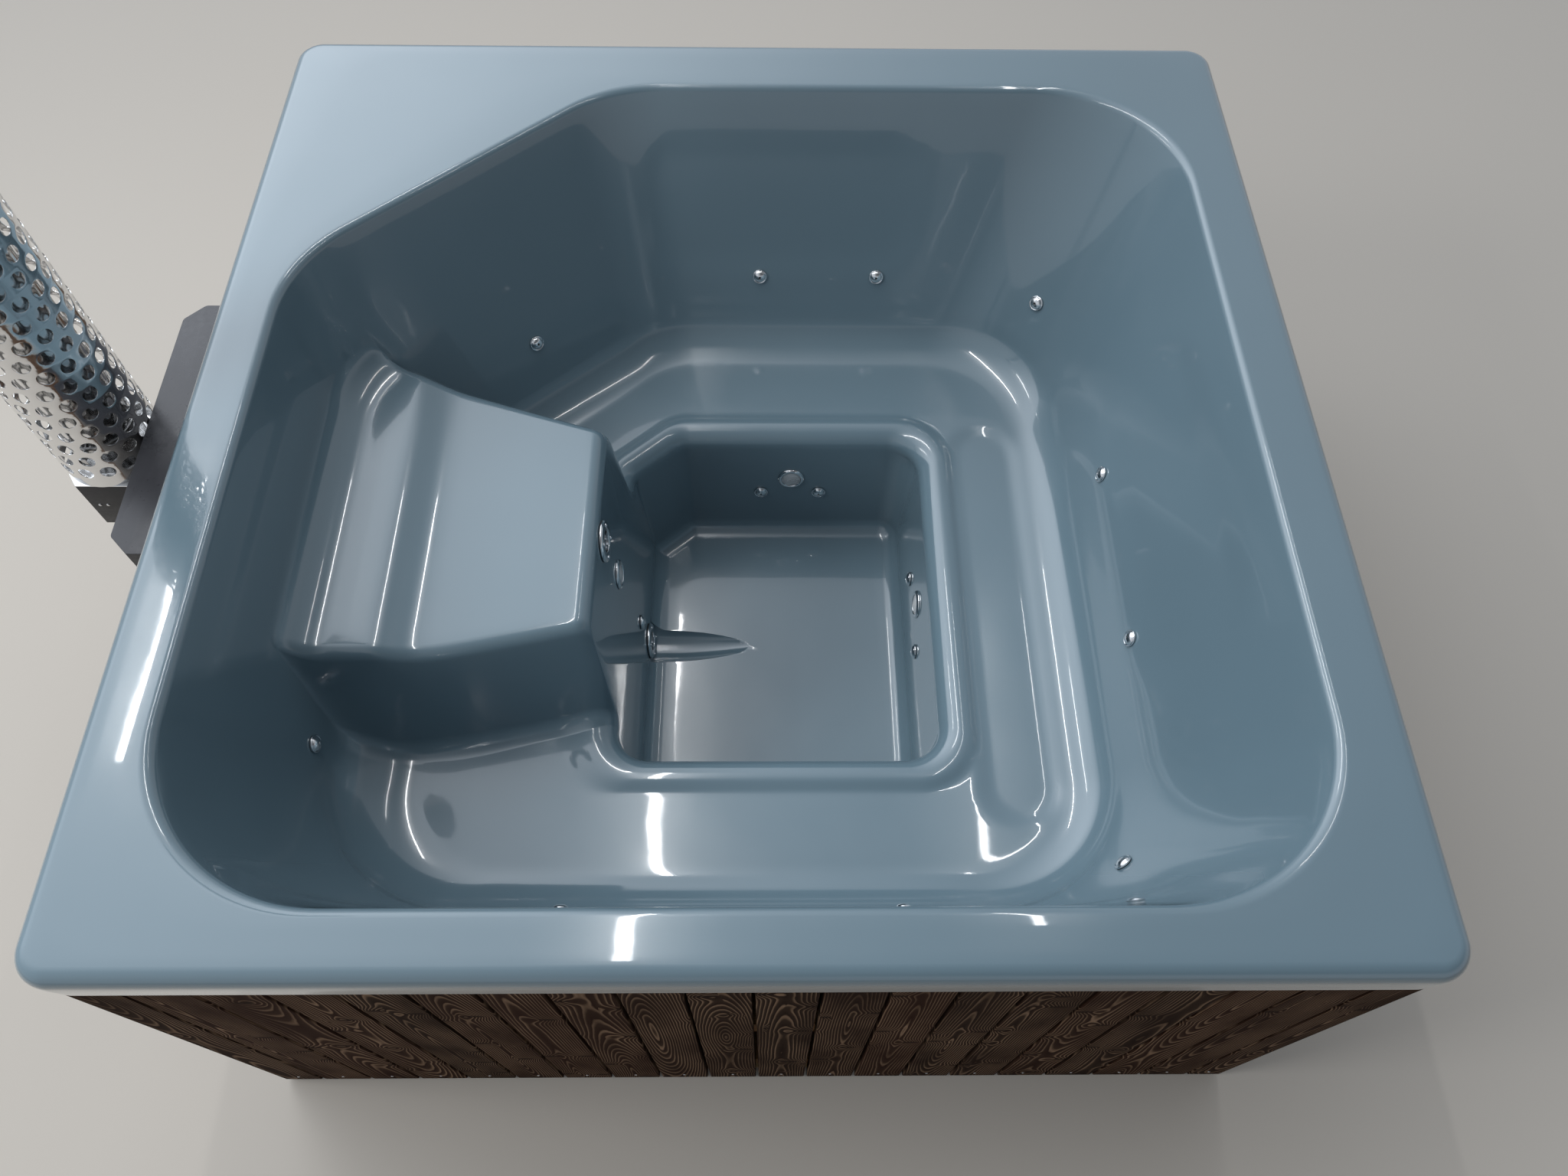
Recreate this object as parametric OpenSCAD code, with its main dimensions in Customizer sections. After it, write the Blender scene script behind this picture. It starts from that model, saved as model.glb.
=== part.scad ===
// Square wood-fired hot tub: a moulded shell with a bench round a footwell and one raised seat,
// a boarded timber frame under it, and a water-jacketed stove whose body stands below the raised
// seat and whose fire end, flue and perforated flue guard stand outside the left side.
// The origin is the middle of the tub's footprint on the floor. +Y is the far side, -X the stove's.

/* [Rim] */
// Width and depth of the square rim
rim_w = 2000; // [1900:10:2200]
// Height of the rim above the floor
rim_h = 1040; // [1030:5:1080]
// Plan radius of the rim's outer corners
rim_corner_r = 55; // [40:1:80]
// Radius of the rim's upper outer edge
rim_edge_r = 25; // [15:1:32]
// Height of the lip that hangs outside the boards
lip_h = 88; // [76:1:90]
// Wall of the moulded shell
shell_t = 8; // [6:0.5:10]
// Flat of the rim on the near side
flat_near = 102; // [98:1:130]
// Flat of the rim on the right side
flat_right = 115; // [100:1:140]
// Flat of the rim on the far side
flat_far = 150; // [120:1:170]
// Flat of the rim on the left side
flat_left = 111; // [100:1:125]
// Distance from the middle of the tub to the edge across its far left corner
corner_cut = 841; // [820:1:860]
// Direction of the edge across the far left corner, from the X axis
corner_cut_a = 41.4; // [38:0.1:45]

/* [Bowl] */
// Plan radius of the bowl's corners at the rim
bowl_r = 290; // [260:1:310]
// Radius where the rim rolls over into the bowl
roll_r = 18; // [12:1:22]
// Depth of the bench below the rim
bench_depth = 550; // [530:1:570]
// How much further in the near wall is, per millimetre of depth
lean_near = 0.25; // [0.2:0.01:0.3]
// Same for the right wall
lean_right = 0.38; // [0.34:0.01:0.42]
// Same for the far wall
lean_far = 0.40; // [0.36:0.01:0.43]
// Same for the wall across the corner
lean_cut = 0.38; // [0.35:0.01:0.41]
// Same for the left wall
lean_left = 0.20; // [0.17:0.01:0.23]
// Radius between the walls and the bench
bench_r = 110; // [90:1:130]
// Radius between the left wall and the bench
bench_left_r = 150; // [130:1:165]
// Depth of the dished seat in the bench
dish = 10; // [6:1:14]

/* [Footwell] */
// Distance from the tub's middle to the footwell's near wall, at bench height
well_near = 455; // [440:1:470]
// Distance to its right wall
well_right = 378; // [360:1:400]
// Distance to its far wall
well_far = 334; // [320:1:345]
// Distance to the wall across its far left corner
well_cut = 368; // [364:1:374]
// Distance to its left wall
well_left = 283; // [275:1:290]
// Height of the footwell's floor above the base board
floor_lift = 42; // [34:1:52]
// How much further in the footwell's walls are, per millimetre of depth
well_lean = 0.09; // [0.07:0.01:0.11]
// Radius of the bench's edge
edge_r = 45; // [35:1:50]
// Radius between the footwell's walls and floor
floor_r = 40; // [30:1:50]
// Length of the tapered channel in the floor
channel_l = 236; // [200:1:260]
// Radius of the channel's cone at the lower port
channel_r = 51; // [47:1:54]

/* [Raised seat] */
// Height of the raised seat above the bench
seat_rise = 265; // [240:1:285]
// Height of the seat's back ledge above the seat
ledge_rise = 23; // [14:1:30]
// Radius of the raised seat's edges
seat_edge_r = 30; // [22:1:34]

/* [Cladding and frame] */
// Thickness of the boards
board_t = 20; // [16:1:24]
// Width of one board
board_w = 95; // [85:1:105]
// Open joint between two boards
board_gap = 6; // [3:1:10]
// Distance from the rim's outer face in to the boards
board_inset = 15; // [13:1:18]
// Height of the boards' feet above the floor
board_foot = 12; // [5:1:20]
// Thickness of the frame's timbers
timber_t = 45; // [38:1:46]
// Height of the rails
rail_h = 70; // [55:1:75]
// Height of the base timbers
base_h = 95; // [85:1:98]
// Thickness of the base board
base_board_t = 18; // [12:1:19]
// Diameter of the nail heads
nail_d = 6; // [4:0.5:8]

/* [Jets and lights] */
// Depth of the bowl's jets below the rim
jet_depth = 395; // [370:1:405]
// Diameter of a jet's head
jet_d = 34; // [28:1:36]
// Height of a jet's dome
jet_dome = 9; // [6:1:11]
// Diameter of a jet's stem
jet_stem_d = 22; // [16:1:24]
// Height of the footwell's jets above its floor, as a share of the footwell's depth
foot_jet_f = 0.424; // [0.36:0.004:0.48]
// Diameter of a light's bezel
light_d = 64; // [56:1:68]
// Diameter of a light's lens
lens_d = 45; // [38:1:48]
// Height of the footwell's lights above its floor, as a share of the footwell's depth
light_f = 0.573; // [0.537:0.004:0.613]
// Outside diameter of the air pipe
air_d = 32; // [25:1:36]

/* [Water ports] */
// Diameter of a port's flange
port_d = 85; // [80:1:92]
// Depth of the upper port below the rim
port_depth = 345; // [338:1:352]
// Bore of a port
port_bore = 44; // [38:1:46]
// Wall of a port's tail and of the stove's nipples
tail_t = 3; // [2:0.5:4]
// Wall of the hoses between the ports and the stove
hose_t = 4; // [3:0.5:5]

/* [Stove] */
// How far the outer face of the stove's fire end stands out from the rim
stove_out = 109; // [90:1:130]
// Width of the fire end
front_w = 572; // [540:1:580]
// Middle of the fire end, towards the far side
front_y = 17; // [10:1:22]
// Cut of its outer corners
front_cut = 36; // [20:1:45]
// Sheet thickness of the fire end
front_t = 4; // [3:0.5:6]
// Thickness of the plate on top of it
plate_t = 3; // [2:0.5:3.5]
// Gap between the plate and the lip above it
plate_gap = 4; // [3:1:8]
// Thickness of the water space round the fire
jacket_t = 30; // [25:1:34]
// Width of the firebox
fire_w = 260; // [240:1:270]
// Length of the firebox
fire_l = 565; // [520:1:570]
// Height of the stove's feet on the base board
feet_h = 11; // [9:1:50]
// Thickness of the fire door
door_t = 8; // [6:1:12]
// Width of the door's opening
mouth_w = 260; // [220:1:270]
// Height of the door's opening
mouth_h = 270; // [230:1:280]
// Furthest swing of the door
door_swing = 110; // [90:5:120]
// Diameter of the hinge pins
pin_d = 10; // [8:1:12]
// Running clearance of pins in their knuckles
pin_fit = 0.08; // [0.05:0.01:0.1]
// Width of the ash drawer
ash_w = 230; // [200:1:240]
// Height of the ash drawer
ash_h = 60; // [45:1:66]
// Length of the ash drawer
ash_l = 400; // [350:1:420]
// Travel of the ash drawer
ash_travel = 300; // [250:5:330]

/* [Flue] */
// Diameter of the flue pipe
flue_d = 130; // [115:1:140]
// Sheet thickness of the flue pipe and its guard
flue_t = 1.5; // [1:0.5:2]
// Diameter of the perforated guard
guard_d = 188; // [176:1:194]
// Gap between the fire end's face and the guard
flue_gap = 1.5; // [1:0.5:6]
// Height of the guard
guard_h = 970; // [686:71:1041]
// Holes round the guard in one row
guard_holes = 15; // [11:2:17]
// Diameter of the holes
guard_hole_d = 27; // [22:1:29]
// Distance between two rows of holes
guard_row = 35.5; // [33:0.5:40]
// Height of the flue's top above the floor
flue_top = 2260; // [2200:10:2400]
// Height of the smoke box that carries the flue
box_h = 122; // [110:1:130]
// Width of the smoke box
box_w = 184; // [176:1:190]

/* [Drain] */
// Outside diameter of the drain pipe
drain_d = 32; // [26:1:36]
// Length of the valve's lever
lever_l = 90; // [70:1:110]
// Quarter turn of the lever
lever_turn = 90; // [80:5:90]

/* [Hidden] */

$fn = 48;
eps = 0.05;
seat_gap = 0.3;          // a fitted piece stands this far from its seat
side_a = [-90, 0, 90, 90 + corner_cut_a, 180, 270];   // outward normals, near side first
half = rim_w / 2;

// Levels and planes that several pieces share
bench_z = rim_h - bench_depth;
dish_z = bench_z - dish;
base_top = base_h + base_board_t;
floor_z = base_top + floor_lift;
seat_z = bench_z + seat_rise;
ledge_z = seat_z + ledge_rise;
flange_z = rim_h - shell_t;
board_out = half - board_inset;
board_in = board_out - board_t;
frame_in = board_in - timber_t;
lip_z = rim_h - lip_h;

// Vector helpers
function dir(a) = [cos(a), sin(a)];
function mix(a, b, f) = a + (b - a) * f;
function meet(a1, d1, a2, d2) =
    [d1 * sin(a2) - d2 * sin(a1), d2 * cos(a1) - d1 * cos(a2)] / sin(a2 - a1);
function arc_len(r, a) = r * a * PI / 180;

// Wall path: for one side, pairs of how far in from the rim's inner edge, and height, ring by ring
roll_n = 3;
fillet_n = 4;
edge_n = 3;
floor_n = 3;
upper_wall = 150;
function roll_path(lean, r) =
    let (phi = atan(lean), t = r * tan((90 - phi) / 2))
    [for (k = [0:roll_n]) let (a = (90 - phi) * k / roll_n)
        [-t + r * sin(a), rim_h - r + r * cos(a)]];
function fillet_path(lean, r, low_z, n, x0, z0) =
    let (phi = atan(lean), t = r * tan((90 - phi) / 2), c = x0 + lean * (z0 - low_z) + t)
    [for (k = [0:n]) let (a = phi + (90 - phi) * k / n) [c - r * cos(a), low_z + r - r * sin(a)]];
function edge_path(lean, r, top_z, x_top) =
    let (phi = atan(lean), t = r * tan((90 - phi) / 2))
    [for (k = [0:edge_n]) let (a = (90 - phi) * k / edge_n)
        [x_top - t + r * sin(a), top_z - r + r * cos(a)]];
function well_path(x_well) = concat(
    [[x_well + well_lean * (edge_r + 10), bench_z - edge_r - 10]],
    fillet_path(well_lean, floor_r, floor_z, floor_n, x_well, bench_z));
function side_path(lean, r, x_well) =
    let (down = fillet_path(lean, r, dish_z, fillet_n, 0, rim_h),
         edge = edge_path(well_lean, edge_r, bench_z, x_well),
         b0 = down[fillet_n][0], b1 = edge[0][0])
    concat(roll_path(lean, roll_r), [[lean * upper_wall, rim_h - upper_wall]], down,
        [for (f = [0.3, 0.55, 0.8]) [mix(b0, b1, f), dish_z]], edge, well_path(x_well));
// The same path over the raised seat: wall, back ledge, seat, front edge and front face
seat_x = half - flat_left - well_left - well_lean * seat_rise;
ledge_r = 80;
ridge_in = 192;
kick_in = 280;
function seat_path(lean, x_well, x_front) =
    let (down = fillet_path(lean, ledge_r, ledge_z, fillet_n, 0, rim_h),
         edge = edge_path(well_lean, seat_edge_r, seat_z, x_front))
    concat(roll_path(lean, roll_r), [[lean * upper_wall, rim_h - upper_wall]], down,
        [[ridge_in, ledge_z + 1], [kick_in, seat_z + 2], [mix(kick_in, edge[0][0], 0.6), seat_z]],
        edge, well_path(x_well));

rim_d = [half - flat_near, half - flat_right, half - flat_far, corner_cut, half - flat_left];
well_d = [well_near, well_right, well_far, well_cut, well_left];
leans = [lean_near, lean_right, lean_far, lean_cut, lean_left];
paths = [for (i = [0:4]) side_path(leans[i], i == 4 ? bench_left_r : bench_r,
    rim_d[i] - well_d[i])];
seat_left = seat_path(lean_left, rim_d[4] - well_left, seat_x);
seat_cut = seat_path(lean_cut, rim_d[3] - well_cut, seat_x);
ring_n = len(paths[0]);
first_bench = roll_n + 2 + fillet_n;      // ring at the foot of the walls
first_edge = first_bench + 4;             // ring where the bench's edge starts to turn
first_well = first_edge + edge_n + 1;

// Corner radii: near left, near right, far right, far cut, cut left
wall_foot_r = [265, 270, 275, 250, 230];
bench_corner_r = [180, 200, 220, 180, 140];
edge_corner_r = [95, 100, 100, 85, 62];
well_corner_r = [55, 62, 62, 45, 22];
floor_corner_r = [12, 16, 16, 12, 8];
function ring_radii(v) =
    v <= roll_n ? [for (i = [0:4]) bowl_r]
    : v <= roll_n + 2 ? [for (i = [0:4]) mix(bowl_r, wall_foot_r[i], (v - roll_n) / 2)]
    : v <= first_bench ? [for (i = [0:4]) mix(wall_foot_r[i], bench_corner_r[i],
        (v - roll_n - 2) / fillet_n)]
    : v <= first_edge ? [for (i = [0:4]) mix(bench_corner_r[i], edge_corner_r[i],
        (v - first_bench) / 4)]
    : v <= first_well ? [for (i = [0:4]) mix(edge_corner_r[i], well_corner_r[i],
        (v - first_edge) / (edge_n + 1))]
    : [for (i = [0:4]) mix(well_corner_r[i], floor_corner_r[i],
        (v - first_well) / (ring_n - 1 - first_well))];

// A ring is [distances of its five sides, corner radii, heights at the sides]
function bench_ring(v) = [[for (i = [0:4]) rim_d[i] - paths[i][v][0]], ring_radii(v),
    [for (i = [0:4]) paths[i][v][1]]];
cut_n = dir(side_a[3]);
function seat_ring(v) =
    let (b = bench_ring(v), x = rim_d[4] - seat_left[v][0], zl = seat_left[v][1],
         past = v > first_bench && v < first_well,
         d3 = past ? cut_n * [-x, far_line(-x, 0) + 60] : rim_d[3] - seat_cut[v][0],
         zc = past ? zl : seat_cut[v][1],
         r4 = v <= roll_n + 1 ? b[1][4] : v <= first_bench
            ? mix(wall_foot_r[4], 200, (v - roll_n - 2) / fillet_n) : past ? 20 : b[1][4])
    v >= first_well ? b
    : [[b[0][0], b[0][1], b[0][2], d3, x], [b[1][0], b[1][1], b[1][2], b[1][3], r4],
        [b[2][0], b[2][1], b[2][2], zc, zl]];
function corner(ring, i) = let (j = (i + 4) % 5)
    meet(side_a[j], ring[0][j] - ring[1][i], side_a[i == 0 ? 5 : i], ring[0][i] - ring[1][i]);

// Plan lines of the raised seat's two side faces; f = 0 is the foot and f = 1 the top
near_top = -300;
near_foot = -362;
near_splay = 0.22;
near_turn = [260, 420];  // the near face turns square to the left wall between these distances
far_top = 146;
far_foot = 178;
far_splay = 0.332;
side_foot_r = 40;
function turned_in(u) = let (a = near_turn[0], b = near_turn[1], mid = (a + b) / 2)
    u > -a ? u : u < -b ? -mid : pow(u + b, 2) / (2 * (b - a)) - mid;
function near_line(x, f) = mix(near_foot, near_top, f) + near_splay * turned_in(x + well_left);
function far_line(x, f) = mix(far_foot, far_top, f) - far_splay * (x + well_left);
// Steps over a side face: [place between foot and top, share of the seat's height]
function face_steps(run) =
    let (phi = atan(run / seat_rise), a = 90 - phi, tf = side_foot_r * tan(a / 2),
         tt = seat_edge_r * tan(a / 2))
    concat([for (k = [0:2]) [(-tf + side_foot_r * sin(a * k / 2)) / run,
            side_foot_r * (1 - cos(a * k / 2)) / seat_rise]],
        [for (k = [2:-1:0]) [(run + tt - seat_edge_r * sin(a * k / 2)) / run,
            1 - seat_edge_r * (1 - cos(a * k / 2)) / seat_rise]]);
near_steps = face_steps(near_top - near_foot);
far_steps = face_steps(far_foot - far_top);

// Left stretch of a ring, measured from the near left corner: the left side, the corner and the
// side across it. Corners count for more than their length, so that they get more points.
corner_weight = 150;
function left_parts(ring) =
    let (a = side_a[4] - side_a[3], cl = corner(ring, 4), nl = corner(ring, 0),
         fc = corner(ring, 3), r = ring[1][4],
         cut = norm(fc + ring[1][3] * cut_n - cl - r * cut_n))
    [cl[1] - nl[1], arc_len(r + corner_weight, a), cut, cl, nl[1], r, arc_len(r, a)];
function left_place(part, y) =
    let (l = y - part[4])
    l <= part[0] ? l
    : l <= part[0] + part[6] ? part[0] + (l - part[0]) * part[1] / part[6]
    : min(part[0] + part[1] + l - part[0] - part[6], part[0] + part[1] + 0.85 * part[2]);
function left_point(ring, part, p) =
    let (a = side_a[4] - side_a[3], f = (p - part[0]) / part[1])
    f <= 0 ? [-ring[0][4], part[4] + p, ring[2][4]]
    : f <= 1 ? concat(part[3] + part[5] * dir(180 - a * f), [mix(ring[2][4], ring[2][3], f)])
    : concat(part[3] + part[5] * cut_n
        + (p - part[0] - part[1]) * dir(side_a[3] - 90), [ring[2][3]]);

// Points of the left stretch from the far cut corner round to the near left corner
lead_n = 7;
over_n = 6;
function left_stretch(bench, seat) =
    let (bp = left_parts(bench), sp = left_parts(seat), x = -bench[0][4], xs = -seat[0][4],
         end_p = bp[0] + bp[1] + bp[2], first_p = left_place(bp, far_line(x, far_steps[0][0])),
         far_p = left_place(sp, far_line(xs, far_steps[5][0])),
         near_p = left_place(sp, near_line(xs, near_steps[5][0])))
    concat(
        [for (k = [1:lead_n - 1]) left_point(bench, bp, mix(end_p, first_p, k / lead_n))],
        [for (s = far_steps) mix(left_point(bench, bp, left_place(bp, far_line(x, s[0]))),
            left_point(seat, sp, left_place(sp, far_line(xs, s[0]))), s[1])],
        [for (k = [1:over_n - 1]) left_point(seat, sp, mix(far_p, near_p, k / over_n))],
        [for (k = [5:-1:0]) let (s = near_steps[k])
            mix(left_point(bench, bp, left_place(bp, near_line(x, s[0]))),
                left_point(seat, sp, left_place(sp, near_line(xs, s[0]))), s[1])]);

arc_n = 9;
cut_arc_n = 5;
function arc_points(ring, i, n) =
    let (c = corner(ring, i), a0 = side_a[i == 0 ? 4 : i - 1], a1 = side_a[i == 0 ? 5 : i],
         z0 = ring[2][(i + 4) % 5], z1 = ring[2][i])
    [for (k = [0:n]) concat(c + ring[1][i] * dir(mix(a0, a1, k / n)), [mix(z0, z1, k / n)])];
function ring_points(bench, seat) = concat(arc_points(bench, 0, arc_n),
    arc_points(bench, 1, arc_n), arc_points(bench, 2, arc_n), arc_points(bench, 3, cut_arc_n),
    left_stretch(bench, seat));

floor_mid = [(well_right - well_left) / 2, (well_far - well_near) / 2, floor_z];

// Rings of the rim's outside: up the lip, over its edge and in to the roll
outer_steps = [[0, lip_h], [0, rim_edge_r], for (a = [30, 60, 90])
    [rim_edge_r * (1 - cos(a)), rim_edge_r * (1 - sin(a))]];
function outer_ring(s) =
    let (d = half - s[0], r = rim_corner_r - s[0], c = half - rim_corner_r)
    [[d, d, d, cut_n * [-c, c] + r - 1, d], [r, r, r, r, r],
        [for (i = [0:4]) rim_h - s[1]]];
rings = concat([for (s = outer_steps) let (r = outer_ring(s)) ring_points(r, r)],
    [for (v = [0:ring_n - 1]) ring_points(bench_ring(v), seat_ring(v))],
    [let (r = bench_ring(ring_n - 1), c = floor_mid)
        [for (p = ring_points(r, r)) mix(p, c, 0.5)]]);
rows = len(rings);
cols = len(rings[0]);

// The wet face is the rings; the dry face lies one wall further out along their normals
function pick(j, i) = rings[max(0, min(rows - 1, j))][(i + cols) % cols];
function normal(j, i) =
    let (n = cross(pick(j, i + 1) - pick(j, i - 1), pick(j + 1, i) - pick(j - 1, i)))
    n / norm(n);
function dry(j, i) = let (p = rings[j][i], q = p - shell_t * normal(j, i))
    j == 0 ? [q[0], q[1], p[2]] : q;
module loft() {
    wet = [for (j = [0:rows - 1], i = [0:cols - 1]) rings[j][i]];
    back = [for (j = [0:rows - 1], i = [0:cols - 1]) dry(j, i)];
    n = rows * cols;
    pole = 2 * n;
    quads = [for (j = [0:rows - 2], i = [0:cols - 1])
        let (a = j * cols + i, b = j * cols + (i + 1) % cols) [a, b, b + cols, a + cols]];
    faces = concat(
        [for (q = quads) [q[0], q[2], q[1]]], [for (q = quads) [q[0], q[3], q[2]]],
        [for (q = quads) [q[0] + n, q[1] + n, q[2] + n]],
        [for (q = quads) [q[0] + n, q[2] + n, q[3] + n]],
        [for (i = [0:cols - 1]) let (k = (i + 1) % cols) [i, k, k + n]],
        [for (i = [0:cols - 1]) let (k = (i + 1) % cols) [i, k + n, i + n]],
        [for (i = [0:cols - 1]) let (a = n - cols + i, b = n - cols + (i + 1) % cols)
            [a, pole, b]],
        [for (i = [0:cols - 1]) let (a = 2 * n - cols + i, b = 2 * n - cols + (i + 1) % cols)
            [a, b, pole + 1]]);
    polyhedron(concat(wet, back, [floor_mid, floor_mid - [0, 0, shell_t]]), faces);
}

// Places its children at a point, with their +Z along a direction
module at(f) {
    translate(f[0]) rotate([0, acos(f[1][2]), atan2(f[1][1], f[1][0])]) children();
}
function unit(v) = v / norm(v);
// Point and normal on a wall of the bowl: side, place along it, depth below the rim
function on_wall(i, along, depth) =
    [concat((rim_d[i] - leans[i] * depth) * dir(side_a[i]) + along * dir(side_a[i] + 90),
        [rim_h - depth]), unit(concat(-dir(side_a[i]), [leans[i]]))];
// The same on a wall of the footwell, by height
function on_well(i, along, z) =
    [concat((well_d[i] - well_lean * (bench_z - z)) * dir(side_a[i])
        + along * dir(side_a[i] + 90), [z]), unit(concat(-dir(side_a[i]), [well_lean]))];
// The same on the middle flat of a bowl corner
function on_corner(i, depth) =
    let (j = first_ring + roll_n + 1, k = i * (arc_n + 1) + floor(arc_n / 2),
         a = rings[j][k], b = rings[j][k + 1], c = rings[j + 1][k], d = rings[j + 1][k + 1],
         top = (a + b) / 2, low = (c + d) / 2,
         f = (top[2] - rim_h + depth) / (top[2] - low[2]), n = unit(cross(b - c, d - a)))
    [mix(top, low, f) + seat_gap / 4 * n, n];
first_ring = len(outer_steps);

// Places of the jets along the bowl's walls, as shares of half the rim's width
jet_places = [[-0.33, 0.26], [-0.273, 0.12], [-0.281, -0.006], [0.056]];
left_jet_in = 406;       // the left wall's jet is this far in from the near wall's line
function wall_jet(i, k) = on_wall(i, jet_places[i][k] * half, jet_depth);
bowl_jets = [wall_jet(0, 0), wall_jet(0, 1), on_corner(1, jet_depth), wall_jet(1, 0),
    wall_jet(1, 1), on_corner(2, jet_depth), wall_jet(2, 0), wall_jet(2, 1), wall_jet(3, 0),
    on_wall(4, rim_d[0] - left_jet_in, jet_depth)];
foot_jet_z = mix(floor_z, bench_z, foot_jet_f);
light_z = mix(floor_z, bench_z, light_f);
foot_jets = [on_well(1, -125, foot_jet_z), on_well(1, 67, foot_jet_z),
    on_well(2, -150, foot_jet_z), on_well(2, -9, foot_jet_z), on_well(4, 49, foot_jet_z)];
left_light_rise = 57;    // the left light stands this far above the bench
lights = [on_well(2, -82, light_z), on_well(1, -30, light_z),
    on_well(4, 70, bench_z + left_light_rise)];
port_high = on_well(4, 82, rim_h - port_depth);
port_low = on_well(4, 38, floor_z + 28);
ports = [port_high, port_low];

// Depths along a fitting's axis, from the wet face of the shell
gasket_t = 1.5;
back = -shell_t - seat_gap;
nut_h = 8;
stem_r = jet_stem_d / 2;
body_r = jet_d / 2 + 3;
body_top = back - nut_h - seat_gap;
body_l = 40;
reach = 46;              // depth at which a jet's body takes its air
drop_r = 10;
housing_r = lens_d / 2 + 3.5;
tail_r = port_bore / 2 + tail_t;
tail_l = 60;
flange_t = 6;
screw_r = 2.5;
screw_ring = tail_r + 7.2;
port_nut_r = screw_ring + screw_r + 1.1;

// Stove levels and planes
sheet = 3;
fire_sheet = 5;
skin = jacket_t + sheet + fire_sheet;
stove_gap = 17;
jacket_top = seat_z - shell_t - stove_gap;
fire_z1 = jacket_top - skin;
fire_z0 = base_top + feet_h + skin;
jacket_low = fire_z0 - skin;
face_x = -(half + stove_out);
plate_in = face_x + front_t;
fire_in = plate_in + fire_l;
jacket_in = fire_in + skin;
jacket_half = fire_w / 2 + skin;
open_half = jacket_half + 10;
plate_z = lip_z - plate_gap;
grate_t = 15;
grate_z = fire_z0 + ash_h + 12;
mouth_z = grate_z + grate_t + 18;
door_lap = 20;
box_z0 = plate_z - 76 - box_h;
box_z1 = box_z0 + box_h;
box_l = 178;
flue_x = face_x - guard_d / 2 - flue_gap;
duct_w = 120;
duct_l = 60;
duct_t = 4;
duct_top = box_z1 - 12;

module jet_bores(set) {
    for (f = set) at(f) translate([0, 0, -shell_t * 3]) cylinder(r = stem_r + seat_gap,
        h = shell_t * 6);
}
module port_channel(more) {
    translate([port_low[0][0] + 5, port_low[0][1], port_low[0][2]]) rotate([0, 90, 0])
        cylinder(r1 = channel_r + more, r2 = port_low[0][2] - floor_z + more,
            h = channel_l + more);
}
module shell() {
    $fn = 24;
    // One mesh, trued to the rim's width
    color("lightsteelblue") resize([rim_w, rim_w, 0]) difference() {
        union() {
            loft();
            intersection() {
                port_channel(shell_t);
                translate([-half, -half, base_top]) cube([2 * half, 2 * half,
                    floor_z - 2 - base_top]);
            }
            intersection() {
                at(port_low) translate([0, 0, -shell_t]) cylinder(r = channel_r + shell_t,
                    h = shell_t + floor_r - 6);
                translate([-half, -half, base_top]) cube([2 * half, 2 * half,
                    floor_z + floor_r * 0.55 - base_top]);
            }
        }
        port_channel(0);
        at(port_low) cylinder(r = channel_r, h = 2 * shell_t);
        jet_bores(bowl_jets);
        jet_bores(foot_jets);
        for (f = lights) at(f) translate([0, 0, -shell_t * 3])
            cylinder(r = housing_r + seat_gap, h = shell_t * 6);
        for (f = ports) at(f) translate([0, 0, -shell_t * 3]) {
            cylinder(r = tail_r + seat_gap, h = shell_t * 6);
            for (a = [45:90:315]) rotate(a) translate([screw_ring, 0, 0])
                cylinder(r = screw_r + seat_gap, h = shell_t * 6);
        }
    }
}

// Boards: spans along one side between two ends, with a joint at the seam
pitch = board_w + board_gap;
board_top = rim_h - rim_edge_r + 5;
function spans(a, b, seam) = [for (k = [-ceil(half / pitch) - 1:ceil(half / pitch)])
    let (x0 = max(a, seam + board_gap / 2 + k * pitch),
         x1 = min(b, seam + board_gap / 2 + k * pitch + board_w))
    if (x1 - x0 > 3 * board_gap) [x0, x1]];
seam_x = 4;
front_spans = spans(-board_out, board_out, seam_x);
side_end = board_in - seat_gap;
side_spans = spans(-side_end, side_end, seam_x);
stove_y0 = front_y - open_half;
stove_y1 = front_y + open_half;
function over_stove(s) = s[1] > stove_y0 && s[0] < stove_y1;
edge_cut = 2;
module board(s, low) {
    translate([0, 0, low]) linear_extrude(board_top - low) polygon([[s[0], -board_in],
        [s[0], -board_out + edge_cut], [s[0] + edge_cut, -board_out],
        [s[1] - edge_cut, -board_out], [s[1], -board_out + edge_cut], [s[1], -board_in]]);
}
module board_row(list) {
    for (s = list) board(s, board_foot);
}
// Cuts the boards' top corners back from the rim's rounded corners
corner_back = 20;
module corner_cuts() {
    for (a = [0:90:270]) rotate(a) translate([board_out - corner_back, -board_out, lip_z - 2])
        rotate(45) translate([-half, -half, 0]) cube([2 * half, half, rim_h]);
}
module boards_front() {
    color("saddlebrown") difference() {
        board_row(front_spans);
        corner_cuts();
    }
}
module boards_back() {
    color("saddlebrown") difference() {
        rotate(180) board_row(front_spans);
        corner_cuts();
    }
}
module boards_right() {
    color("saddlebrown") difference() {
        rotate(90) board_row(side_spans);
        corner_cuts();
    }
}
module boards_left() {
    color("saddlebrown") difference() {
        rotate(-90) for (s = side_spans) board(s, over_stove([-s[1], -s[0]])
            ? jacket_top + stove_gap : board_foot);
        translate([-half, drain_y, drain_z]) rotate([0, 90, 0])
            cylinder(d = drain_d + 2, h = half - frame_in);
        corner_cuts();
    }
}
module nail_row(list, z) {
    for (s = list) translate([(s[0] + s[1]) / 2, -board_out, z]) rotate([90, 0, 0])
        cylinder(d = nail_d, h = 1.2, $fn = 16);
}
nail_low = board_foot + rail_h / 2;
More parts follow.
